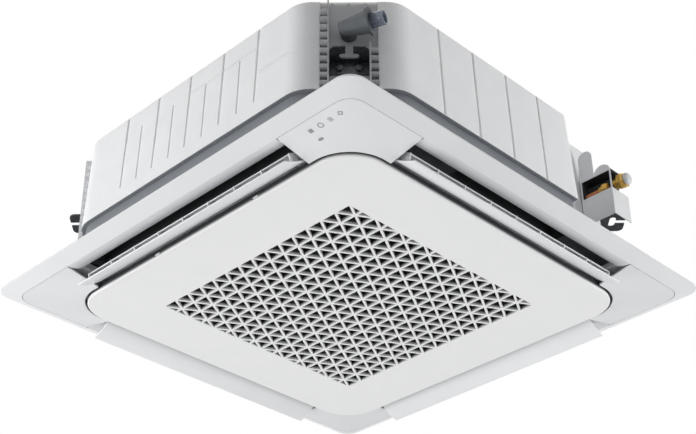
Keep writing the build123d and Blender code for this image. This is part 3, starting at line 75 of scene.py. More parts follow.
# ---------------------------------------------------------------- helpers
def linear(code: str) -> tuple[float, float, float, float]:
    """Turns an sRGB hex colour into linear light, by the standard's transfer curve.

    Args:
        code: Six hex digits after a number sign.

    Returns:
        Red, green, blue and an alpha of one.
    """
    parts = [int(code[i:i + 2], 16) / 255 for i in (1, 3, 5)]
    red, green, blue = [p / 12.92 if p <= 0.04045 else ((p + 0.055) / 1.055) ** 2.4 for p in parts]
    return red, green, blue, 1.0


def add_node(
    tree: Tree, kind: str, values: dict | None = None, links: dict | None = None, **settings: Any,
) -> Node:
    """Adds one shader node with its settings, constants and links.

    Args:
        tree: Node tree that the node goes into.
        kind: Type name of the node.
        values: Constants by input name or number.
        links: Output sockets by input name or number.
        **settings: Properties of the node itself.

    Returns:
        The new node.
    """
    node = tree.nodes.new(kind)
    for key, value in settings.items():
        setattr(node, key, value)
    for key, value in (values or {}).items():
        node.inputs[key].default_value = value
    for key, source in (links or {}).items():
        tree.links.new(source, node.inputs[key])
    return node


def above(height_mm: float) -> float:
    """Turns a height above the ceiling into one in the shared frame.

    Args:
        height_mm: Height above the finished ceiling.

    Returns:
        The same level along Z, in metres.
    """
    return CEILING + height_mm * MM


def deselect() -> None:
    """Leaves edit mode and empties the selection."""
    if bpy.context.object and bpy.context.object.mode != "OBJECT":
        bpy.ops.object.mode_set(mode="OBJECT")
    bpy.ops.object.select_all(action="DESELECT")


def select_only(piece: Piece) -> None:
    """Makes one piece the whole selection and the active object.

    Args:
        piece: The object to work on next.
    """
    deselect()
    piece.select_set(True)
    bpy.context.view_layer.objects.active = piece


def edit_all() -> None:
    """Enters edit mode on the active object, with all of its mesh selected."""
    bpy.ops.object.mode_set(mode="EDIT")
    bpy.ops.mesh.select_all(action="SELECT")


def pick_points(piece: Piece, test: Callable[[Vector], bool]) -> None:
    """Selects in edit mode the points whose place passes a test, and nothing else.

    Args:
        piece: The object being shaped.
        test: Tells from a point's place, in metres, whether it is wanted.
    """
    bpy.ops.object.mode_set(mode="OBJECT")
    mesh = piece.data
    for part in (*mesh.edges, *mesh.polygons):
        part.select = False
    for point in mesh.vertices:
        point.select = test(point.co)
    bpy.ops.object.mode_set(mode="EDIT")
    bpy.ops.mesh.select_mode(type="VERT")


def apply_place(piece: Piece) -> None:
    """Puts the place of a piece into its mesh, which leaves the object at the origin.

    Args:
        piece: The object to settle.
    """
    select_only(piece)
    bpy.ops.object.transform_apply(location=True, rotation=True, scale=True)


def apply_modifiers(piece: Piece) -> None:
    """Applies every modifier of a piece in order.

    Args:
        piece: The object whose mesh takes them up.
    """
    select_only(piece)
    for modifier in list(piece.modifiers):
        bpy.ops.object.modifier_apply(modifier=modifier.name)
    deselect()


def block(size_mm: Triple, place_mm: Triple = (0.0, 0.0, 0.0)) -> Piece:
    """Starts a piece from a box, and leaves it in edit mode with all of it selected.

    Args:
        size_mm: Its size along X, Y and Z.
        place_mm: The middle of the box.

    Returns:
        The box.
    """
    deselect()
    bpy.ops.mesh.primitive_cube_add(size=1.0, location=(0.0, 0.0, 0.0))
    edit_all()
    bpy.ops.transform.resize(value=tuple(side * MM for side in size_mm))
    if any(place_mm):
        bpy.ops.transform.translate(value=tuple(step * MM for step in place_mm))
    return bpy.context.object


def turned(rings: Sequence[Pair], sides: int = 40) -> Piece:
    """Turns a profile about Z, ring by ring.

    Args:
        rings: Height and radius of each ring in millimetres, from one filled end to the other.
        sides: Number of sides.

    Returns:
        The turned object, with its axis on Z.
    """
    deselect()
    height, radius = rings[0]
    bpy.ops.mesh.primitive_circle_add(
        vertices=sides, radius=radius * MM, location=(0.0, 0.0, 0.0),
    )
    edit_all()
    bpy.ops.transform.translate(value=(0.0, 0.0, height * MM))
    bpy.ops.mesh.edge_face_add()
    bpy.ops.mesh.select_mode(type="EDGE")
    for next_height, next_radius in rings[1:]:
        rise = (next_height - height) * MM
        bpy.ops.mesh.extrude_region_move(TRANSFORM_OT_translate={"value": (0.0, 0.0, rise)})
        bpy.ops.transform.resize(value=(next_radius / radius, next_radius / radius, 1.0))
        height, radius = next_height, next_radius
    bpy.ops.mesh.select_all(action="SELECT")
    bpy.ops.mesh.remove_doubles(threshold=WELD)
    bpy.ops.mesh.normals_make_consistent(inside=False)
    bpy.ops.object.mode_set(mode="OBJECT")
    return bpy.context.object


def thicken(piece: Piece, thick_mm: float, offset: float = -1.0) -> None:
    """Gives a surface a wall.

    Args:
        piece: The open surface.
        thick_mm: Thickness of the wall.
        offset: Which side it grows to, from -1 below the surface to 1 above it.
    """
    skin = piece.modifiers.new("skin", "SOLIDIFY")
    skin.thickness = thick_mm * MM
    skin.offset = offset


def round_edges(piece: Piece, width_mm: float, segments: int = 2) -> None:
    """Rounds the sharp edges of a piece.

    Args:
        piece: The object to round.
        width_mm: Width of the rounding.
        segments: Number of steps in it.
    """
    edge = piece.modifiers.new("edge", "BEVEL")
    edge.width = width_mm * MM
    edge.segments = segments
    edge.limit_method = "ANGLE"


def joined(pieces: Sequence[Piece]) -> Piece:
    """Joins modelled parts into one object.

    Args:
        pieces: Two parts or more; the first one keeps its name.

    Returns:
        The joined object.
    """
    deselect()
    for piece in pieces:
        piece.select_set(True)
    bpy.context.view_layer.objects.active = pieces[0]
    bpy.ops.object.join()
    return bpy.context.object


def smooth(piece: Piece, angle: float = 35.0) -> None:
    """Shades a piece smooth where its faces meet at a small angle.

    Args:
        piece: The object to shade.
        angle: The sharpest angle that is smoothed, in degrees.
    """
    select_only(piece)
    bpy.ops.object.shade_smooth_by_angle(angle=math.radians(angle))
    deselect()


# ---------------------------------------------------------------- finishes
@dataclass(frozen=True)
class Finish:
    """A surface: its colour, gloss and the fine relief that the way it was made leaves on it."""

    name: str
    colour: str
    shade: str
    roughness: float = 0.45
    metallic: float = 0.0
    ior: float = 1.5
    grain_mm: float = 0.9
    relief_mm: float = 0.02
    mottle_mm: float = 60.0
    transmission: float = 0.0
    scatter: float = 0.0
    scatter_mm: float = 12.0
    edge_mm: float = 0.5
    crevice_mm: float = 0.0
    crevice_range: Pair = (0.12, 0.62)
    # Colour of the painted shade in crevices and up the grille's inner walls.
    painted_shade: str = "#4A4C4F"

    def tone(self, tree: Tree, coords: Socket) -> Socket:
        """Slow drift between the colour and its shade, as wear and handling leave it.

        Args:
            tree: Node tree of the material.
            coords: Place on the object.

        Returns:
            The colour of the clean surface.
        """
        mottle = add_node(
            tree, "ShaderNodeTexNoise",
            {"Scale": 1 / (self.mottle_mm * MM), "Detail": 3.0}, {"Vector": coords},
        )
        mix = add_node(
            tree, "ShaderNodeMix", {6: linear(self.colour), 7: linear(self.shade)},
            {0: mottle.outputs["Fac"]}, data_type="RGBA",
        )
        return mix.outputs[2]

    def relief(self, tree: Tree, coords: Socket) -> Socket:
        """Height of the fine grain.

        Args:
            tree: Node tree of the material.
            coords: Place on the object.

        Returns:
            The height, from zero to one.
        """
        grain = add_node(
            tree, "ShaderNodeTexNoise",
            {"Scale": 1 / (self.grain_mm * MM), "Detail": 2.0}, {"Vector": coords},
        )
        return grain.outputs["Fac"]

    def shaded_crevices(self, tree: Tree, tone: Socket) -> Socket:
        """Paints shade into seams and deep corners, by how closed in each point is.

        Args:
            tree: Node tree of the material.
            tone: Colour of the clean surface.

        Returns:
            The colour with painted shade in its crevices.
        """
        if not self.crevice_mm:
            return tone
        # Painted shade: the colour darkens where the surface is closed in by nearby geometry.
        open_sky = add_node(
            tree, "ShaderNodeAmbientOcclusion", {"Distance": self.crevice_mm * MM},
            samples=CREVICE_SAMPLES,
        )
        reach = add_node(
            tree, "ShaderNodeMapRange",
            {"From Min": self.crevice_range[0], "From Max": self.crevice_range[1]},
            {"Value": open_sky.outputs["AO"]},
        )
        mix = add_node(
            tree, "ShaderNodeMix", {6: linear(self.painted_shade)}, {0: reach.outputs["Result"], 7: tone},
            data_type="RGBA",
        )
        return mix.outputs[2]

    def gloss(self, tree: Tree, coords: Socket) -> Socket:
        """Roughness that varies a little around its middle value.

        Args:
            tree: Node tree of the material.
            coords: Place on the object.

        Returns:
            The roughness.
        """
        patches = add_node(
            tree, "ShaderNodeTexNoise",
            {"Scale": GLOSS_FINER / (self.mottle_mm * MM), "Detail": 4.0}, {"Vector": coords},
        )
        spread = add_node(
            tree, "ShaderNodeMapRange",
            {
                "To Min": self.roughness * (1 - GLOSS_DRIFT),
                "To Max": self.roughness * (1 + GLOSS_DRIFT),
            },
            {"Value": patches.outputs["Fac"]},
        )
        return spread.outputs["Result"]

    def material(self) -> bpy.types.Material:
        """Makes the material the first time.

        Returns:
            The same material each time.
        """
        made = bpy.data.materials.get(self.name)
        if made:
            return made
        made = bpy.data.materials.new(self.name)
        made.use_nodes = True
        tree = made.node_tree
        tree.nodes.clear()
        coords = add_node(tree, "ShaderNodeTexCoord").outputs["Object"]
        edge = add_node(
            tree, "ShaderNodeBevel", {"Radius": self.edge_mm * MM}, samples=EDGE_SAMPLES,
        )
        bump = add_node(
            tree, "ShaderNodeBump", {"Distance": self.relief_mm * MM},
            {"Height": self.relief(tree, coords), "Normal": edge.outputs["Normal"]},
        )
        shader = add_node(
            tree, "ShaderNodeBsdfPrincipled",
            {
                "Metallic": self.metallic,
                "IOR": self.ior,
                "Transmission Weight": self.transmission,
                "Subsurface Weight": self.scatter,
                "Subsurface Radius": (1.0, 1.0, 1.0),
                "Subsurface Scale": self.scatter_mm * MM,
            },
            {
                "Base Color": self.shaded_crevices(tree, self.tone(tree, coords)),
                "Roughness": self.gloss(tree, coords),
                "Normal": bump.outputs["Normal"],
            },
        )
        add_node(tree, "ShaderNodeOutputMaterial", None, {"Surface": shader.outputs[0]})
        return made


@dataclass(frozen=True)
class BeadFoam(Finish):
    """Expanded bead foam: a skin of flattened beads a few millimetres across."""

    bead_mm: float = 4.5

    def relief(self, tree: Tree, coords: Socket) -> Socket:
        """Rounded beads with fine gaps between them."""
        beads = add_node(
            tree, "ShaderNodeTexVoronoi", {"Scale": 1 / (self.bead_mm * MM)},
            {"Vector": coords}, feature="SMOOTH_F1",
        )
        domes = add_node(
            tree, "ShaderNodeMath", {0: 1.0}, {1: beads.outputs["Distance"]},
            operation="SUBTRACT",
        )
        return domes.outputs[0]


@dataclass(frozen=True)
class CladdingFoam(BeadFoam):
    """White cladding of the body, whose underside is faced with the casing's grey flange."""

    foot_mm: float = 90.7
    flange: str = "#84888D"

    def tone(self, tree: Tree, coords: Socket) -> Socket:
        """Foam white above the foot, and the flange's grey under it."""
        clean = super().tone(tree, coords)
        parts = add_node(tree, "ShaderNodeSeparateXYZ", None, {"Vector": coords})
        under = add_node(
            tree, "ShaderNodeMath", {1: above(self.foot_mm)}, {0: parts.outputs["Z"]},
            operation="LESS_THAN",
        )
        mix = add_node(
            tree, "ShaderNodeMix", {7: linear(self.flange)}, {0: under.outputs[0], 6: clean},
            data_type="RGBA",
        )
        return mix.outputs[2]


@dataclass(frozen=True)
class LatticeAbs(Finish):
    """Moulded grille: clean outside, with painted shade up its inner walls and round its outer
    wall.
    """

    face_mm: float = 33.0
    inner_mm: float = 27.0

    def tone(self, tree: Tree, coords: Socket) -> Socket:
        """Clean colour at the face, painted shade up in the cells and round the outer wall."""
        clean = super().tone(tree, coords)
        parts = add_node(tree, "ShaderNodeSeparateXYZ", None, {"Vector": coords})
        # Painted shade: the colour darkens with height, from the grille's face up into its cells.
        height = add_node(
            tree, "ShaderNodeMapRange",
            {"From Min": above(-self.face_mm), "From Max": above(-self.inner_mm)},
            {"Value": parts.outputs["Z"]},
        )
        mix = add_node(
            tree, "ShaderNodeMix", {7: linear(self.painted_shade)}, {0: height.outputs["Result"], 6: clean},
            data_type="RGBA",
        )
        return mix.outputs[2]


@dataclass(frozen=True)
class SpangledZinc(Finish):
    """Hot-dipped zinc on steel sheet: grey crystals about a centimetre across."""

    spangle_mm: float = 9.0

    def tone(self, tree: Tree, coords: Socket) -> Socket:
        """Each crystal takes its own grey."""
        cells = add_node(
            tree, "ShaderNodeTexVoronoi", {"Scale": 1 / (self.spangle_mm * MM)},
            {"Vector": coords},
        )
        pick = add_node(
            tree, "ShaderNodeSeparateColor", None, {"Color": cells.outputs["Color"]},
        )
        mix = add_node(
            tree, "ShaderNodeMix", {6: linear(self.colour), 7: linear(self.shade)},
            {0: pick.outputs[0]}, data_type="RGBA",
        )
        return mix.outputs[2]


@dataclass(frozen=True)
class RibbedStock(Finish):
    """A stack or weave of thin strips, drawn as light lines with painted shade in the gaps between
    them.
    """

    pitch_mm: float = 3.0
    crossed: bool = False

    def lines(self, tree: Tree, coords: Socket) -> Socket:
        """Strength of the strips, one at their middle; they cross where they are woven.

        Args:
            tree: Node tree of the material.
            coords: Place on the object.

        Returns:
            The strength, from zero to one.
        """
        parts = add_node(tree, "ShaderNodeSeparateXYZ", None, {"Vector": coords})
        signs = ("ADD", "SUBTRACT") if self.crossed else ("ADD",)
        waves = []
        for sign in signs:
            along = add_node(
                tree, "ShaderNodeMath", None, {0: parts.outputs["X"], 1: parts.outputs["Y"]},
                operation=sign,
            )
            turns = add_node(
                tree, "ShaderNodeMath", {1: math.tau / (self.pitch_mm * MM)},
                {0: along.outputs[0]}, operation="MULTIPLY",
            )
            wave = add_node(
                tree, "ShaderNodeMath", None, {0: turns.outputs[0]}, operation="SINE",
            )
            waves.append(wave.outputs[0])
        if self.crossed:
            both = add_node(
                tree, "ShaderNodeMath", None, {0: waves[0], 1: waves[1]}, operation="MAXIMUM",
            )
            waves = [both.outputs[0]]
        spread = add_node(
            tree, "ShaderNodeMapRange", {"From Min": -1.0, "From Max": 1.0}, {"Value": waves[0]},
        )
        return spread.outputs["Result"]

    def tone(self, tree: Tree, coords: Socket) -> Socket:
        """Light strips, and painted shade in the gaps between them."""
        # Painted shade: the second colour fills the gaps between the strips.
        mix = add_node(
            tree, "ShaderNodeMix", {6: linear(self.shade), 7: linear(self.colour)},
            {0: self.lines(tree, coords)}, data_type="RGBA",
        )
        return mix.outputs[2]

    def relief(self, tree: Tree, coords: Socket) -> Socket:
        """The strips stand proud of the gaps."""
        return self.lines(tree, coords)


@dataclass(frozen=True)
class SolderMask(Finish):
    """Green mask over copper tracks on a circuit board."""

    track_mm: float = 6.0

    def tone(self, tree: Tree, coords: Socket) -> Socket:
        """Tracks show as a paler green under the mask."""
        tracks = add_node(
            tree, "ShaderNodeTexBrick",
            {
                "Color1": linear(self.colour), "Color2": linear(self.shade),
                "Mortar": linear(self.shade), "Scale": 1 / (self.track_mm * MM),
                "Mortar Size": 0.08,
            },
            {"Vector": coords},
        )
        return tracks.outputs["Color"]


# Moulded acrylonitrile plastic, satin from a finely etched mould: soft highlights, no mirror
# image. Painted shade greys its seams, and the inner walls of the grille's cells.
PANEL_ABS = Finish(
    "moulded_abs_panel", "#EAEBED", "#E5E7E9", 0.40, ior=1.54, grain_mm=1.4, relief_mm=0.012,
    crevice_mm=7.0, crevice_range=(0.2, 0.75), painted_shade="#333538",
)
COVER_ABS = Finish(
    "moulded_abs_cover", "#E9EAEC", "#E4E6E8", 0.38, ior=1.54, grain_mm=1.4, relief_mm=0.012,
    crevice_mm=5.0,
)
VANE_ABS = Finish(
    "moulded_abs_vane", "#ECEDEF", "#E6E8EA", 0.36, ior=1.54, grain_mm=1.2, relief_mm=0.01,
    crevice_mm=9.0,
)
GRILLE_ABS = LatticeAbs(
    "moulded_abs_grille", "#F7F7F8", "#F2F3F4", 0.42, ior=1.54, grain_mm=1.4, relief_mm=0.012,
    painted_shade="#3C3E41",
)
# Bead foam moulded against a smooth tool: dull, with the beads just visible. Light enters the
# white cladding and softens the shadows in its grooves; the pan's foam is painted dark as shade.
SHELL_FOAM = CladdingFoam(
    "bead_foam_shell", "#F3F4F5", "#EAEBED", 0.62, relief_mm=0.12, bead_mm=5.0, mottle_mm=45.0,
    edge_mm=2.0, scatter=0.6, scatter_mm=14.0,
)
# The pan's dark grey is painted shade for the inside of the unit.
SHADED_PAN_FOAM = BeadFoam("bead_foam_pan", "#47494B", "#3C3E40", 0.7, relief_mm=0.15, bead_mm=4.0)
# Powder coat baked on steel sheet: an even grey or white with a little orange peel.
CASING_COAT = Finish(
    "powder_coat_casing", "#7F8388", "#75797E", 0.48, ior=1.52, grain_mm=3.0, relief_mm=0.03,
)
POST_COAT = Finish(
    "powder_coat_post", "#BFC1C4", "#B4B6B9", 0.5, ior=1.52, grain_mm=2.5, relief_mm=0.03,
    crevice_mm=11.0, painted_shade="#67696C",
)
COVER_COAT = Finish(
    "powder_coat_white", "#EBECEE", "#E0E2E4", 0.45, ior=1.52, grain_mm=3.0, relief_mm=0.03,
)
# Zinc-dipped steel sheet: dull metal with a grey crystal pattern.
TOP_ZINC = SpangledZinc(
    "zinc_sheet_top", "#B6B9BB", "#A9ADB0", 0.42, 1.0, grain_mm=2.0, spangle_mm=8.0,
)
PART_ZINC = SpangledZinc(
    "zinc_sheet_parts", "#A8ABAD", "#8A8E91", 0.38, 1.0, grain_mm=1.5, spangle_mm=7.0,
)
HANGER_ZINC = SpangledZinc("zinc_plate_hanger", "#5C5F62", "#484B4E", 0.45, 1.0, spangle_mm=6.0)
# Small steel screws: oxide-blackened ones with dull glints, zinc-plated ones with bright glints.
HANGER_SCREW = Finish("blackened_screw", "#6C6E70", "#585A5C", 0.4, 1.0, grain_mm=0.8)
BOLT_ZINC = Finish("zinc_plated_bolt", "#B4B6B2", "#9A9C98", 0.3, 1.0, grain_mm=0.8)
# Drawn copper tube, handled and a little oxidised: warm metal with browner patches.
COPPER = Finish("drawn_copper", "#C98B63", "#A9694A", 0.32, 1.0, grain_mm=0.6, mottle_mm=14.0)
# Turned brass: yellow metal with bright flats.
BRASS = Finish("turned_brass", "#CFAA5E", "#B58E45", 0.28, 1.0, grain_mm=0.5, mottle_mm=12.0)
# Pressed aluminium fins at a close pitch, drawn at twice the real spacing so that they show;
# the dark lines between them are painted shade.
FIN_ALUMINIUM = RibbedStock(
    "aluminium_fins", "#C3C7CA", "#6F7478", 0.4, 0.9, relief_mm=0.4, pitch_mm=3.2,
)
# Woven polypropylene mesh in its frame, drawn coarser than the real one so that it shows; the
# darkest lines, in its holes, are painted shade.
FILTER_MESH = RibbedStock(
    "woven_filter_mesh", "#33363A", "#141517", 0.6, relief_mm=0.2, pitch_mm=2.6, crossed=True,
)
# Glass-filled plastic of the fan: dark, faintly mottled by the fibres.
FAN_PLASTIC = Finish(
    "glass_filled_fan", "#3B3E41", "#323538", 0.5, ior=1.53, grain_mm=1.0, mottle_mm=9.0,
)
# Moulded polystyrene of the bell mouth and the slot's blank: near black, even and dull.
BELL_PLASTIC = Finish("moulded_bell_mouth", "#2E3033", "#27292B", 0.5, ior=1.59, grain_mm=1.2)
# Moulded plastic of small inner parts and of the motors' cases: plain grey or pale, satin.
GREY_PLASTIC = Finish("moulded_grey_plastic", "#9A9EA2", "#8E9296", 0.42, ior=1.54, grain_mm=1.0)
MOTOR_PLASTIC = Finish("moulded_motor_case", "#D7DADB", "#CBCED0", 0.42, grain_mm=1.0)
# Soft clear vinyl gone grey: dull and half see-through.
TUBE_VINYL = Finish(
    "clear_vinyl_tube", "#A3ABBB", "#8A93A4", 0.25, ior=1.54, grain_mm=2.0, transmission=0.35,
)
# Moulded rubber: dull, grey with a dusty bloom on the boot and nearly black inside.
BOOT_RUBBER = Finish(
    "moulded_rubber_boot", "#55595D", "#474B4F", 0.6, ior=1.52, grain_mm=1.0, mottle_mm=18.0,
)
MOUNT_RUBBER = Finish("moulded_rubber_mount", "#2A2B2D", "#232426", 0.65, ior=1.52, grain_mm=1.0)
# Closed-cell foam: black, dull and finely pitted.
CELL_FOAM = BeadFoam("closed_cell_foam", "#1F2022", "#141516", 0.85, relief_mm=0.2, bead_mm=1.8)
# Soft polyethylene cap: milky and slightly waxy.
CAP_PLASTIC = Finish("soft_cap_plastic", "#DFE0E1", "#D2D3D5", 0.35, ior=1.51, grain_mm=1.0)
# Circuit board under its solder mask: deep green with a faint pattern of tracks.
BOARD = SolderMask("solder_mask_board", "#1E5B3A", "#17492E", 0.35, grain_mm=2.0)
# Pad-printed ink: flat pale grey, a little duller than the plastic below it.
INK = Finish("pad_printed_ink", "#A9ACB0", "#9FA2A6", 0.5, grain_mm=0.8)
# Smoked clear plastic over the receiver and the lamps.
SMOKED = Finish("smoked_window", "#8F9296", "#83868A", 0.18, ior=1.49, grain_mm=2.0)
# Matt paint of the studio floor: pale, with the slow drift of a rolled coat.
FLOOR_PAINT = Finish(
    "matt_floor_paint", "#EDEDEC", "#E9E9E8", 0.8, grain_mm=30.0, mottle_mm=900.0,
)

NODE_FINISHES: dict[str, Finish] = {
    "cabinet_shell": SHELL_FOAM,
    "top_plate": TOP_ZINC,
    "lower_casing": CASING_COAT,
    "corner_post_front": POST_COAT,
    "corner_post_left": COVER_COAT,
    "corner_post_back": COVER_COAT,
    "hanger_bolts": HANGER_SCREW,
    "drain_pan": SHADED_PAN_FOAM,
    "bell_mouth": BELL_PLASTIC,
    "coil_fins": FIN_ALUMINIUM,
    "coil_end_plates": PART_ZINC,
    "gas_flare_nut": BRASS,
    "liquid_flare_nut": BRASS,
    "pipe_insulation": CELL_FOAM,
    "pipe_cover": COVER_COAT,
    "drain_boot": BOOT_RUBBER,
    "drain_tube": TUBE_VINYL,
    "fan_motor": MOTOR_PLASTIC,
    "motor_mounts": MOUNT_RUBBER,
    "motor_bracket": PART_ZINC,
    "fan_impeller": FAN_PLASTIC,
    "fan_nut": BOLT_ZINC,
    "control_box": PART_ZINC,
    "control_cover": PART_ZINC,
    "control_board": BOARD,
    "panel_frame": PANEL_ABS,
    "panel_gasket": CELL_FOAM,
    "panel_screws": BOLT_ZINC,
    "display_board": BOARD,
    "grille_panel": GRILLE_ABS,
    "hinge_pins": BOLT_ZINC,
    "air_filter": FILTER_MESH,
    "grille_latch_right": PANEL_ABS,
    "grille_latch_left": PANEL_ABS,
    **dict.fromkeys(("coil_bends", "coil_headers", "gas_pipe", "liquid_pipe"), COPPER),
    **dict.fromkeys(("drain_pump", "drain_hose", "float_stem", "float_ring"), GREY_PLASTIC),
    "terminal_block": GREY_PLASTIC,
    **{f"hanger_{corner}": HANGER_ZINC for corner in CORNERS},
    **{f"corner_cover_{corner}": COVER_ABS for corner in CORNERS},
    **{f"vane_{side}": VANE_ABS for side in SIDES},
    **{f"vane_motor_{side}": MOTOR_PLASTIC for side in SIDES},
}


def dress_nodes() -> None:
    """Gives every solid of the frame its finish."""
    for name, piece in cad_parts.items():
        finish = NODE_FINISHES[name]
        for slot in piece.material_slots:
            slot.material = finish.material()
        LOG.info("dressed %s in %s", name, finish.name)


def settle(piece: Piece, name: str) -> None:
    """Names a piece and puts its place into its mesh, with the object at the origin.

    Args:
        piece: The finished object.
        name: Its plain name.
    """
    piece.name = name
    piece.data.name = name
    apply_place(piece)
    deselect()


def install(piece: Piece, name: str, finish: Finish, body: str, slot: str, *nodes: str) -> Piece:
    """Settles a modelled piece, gives it its finish and hangs it on its body.

    Args:
        piece: The modelled object.
        name: Its plain name.
        finish: Its surface.
        body: The body that it moves with.
        slot: Not used.
        *nodes: The solids that it stands for.

    Returns:
        The installed piece.
    """
    settle(piece, name)
    smooth(piece)
    piece.data.materials.clear()
    piece.data.materials.append(finish.material())
    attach(piece, body)
    if nodes:
        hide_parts(*nodes)
    LOG.info("modelled %s on %s", name, body)
    return piece


# ---------------------------------------------------------------- round mouldings
@dataclass
class RoundMouldings:
    """Round parts whose facets are smoothed: the drain's boot and tube, bell mouth and fan."""

    weld_mm: float = 0.01

    def smoothed(self, node: str, finish: Finish, body: str, slot: str) -> Piece:
        """Copies a solid's shape, welds its loose faces and smooths them.

        Args:
            node: The solid that the copy stands for.
            finish: Its surface.
            body: The body that it moves with.
            slot: Name of the slot that its finish belongs to.

        Returns:
            The smoothed piece.
        """
        piece = bpy.data.objects.new(node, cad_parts[node].data.copy())
        bpy.context.collection.objects.link(piece)
        select_only(piece)
        edit_all()
        bpy.ops.mesh.remove_doubles(threshold=self.weld_mm * MM)
        bpy.ops.mesh.normals_make_consistent(inside=False)
        bpy.ops.object.mode_set(mode="OBJECT")
        return install(piece, f"smooth_{node}", finish, body, slot, node)

    def build(self) -> list[Piece]:
        """Smooths the four mouldings.

        Returns:
            The smoothed pieces.
        """
        return [
            self.smoothed("drain_boot", BOOT_RUBBER, "unit", "black_rubber"),
            self.smoothed("drain_tube", TUBE_VINYL, "unit", "grey_plastic"),
            self.smoothed("bell_mouth", BELL_PLASTIC, "unit", "dark_plastic"),
            self.smoothed("fan_impeller", FAN_PLASTIC, "fan", "fan_plastic"),
        ]


# ---------------------------------------------------------------- vanes
@dataclass(frozen=True)
class Blade:
    """Section and length of a blade: its edges lie across and above the hinge, vane shut."""

    inner_mm: Pair
    outer_mm: Pair
    sag_mm: float
    thick_mm: float
    half_length_mm: float


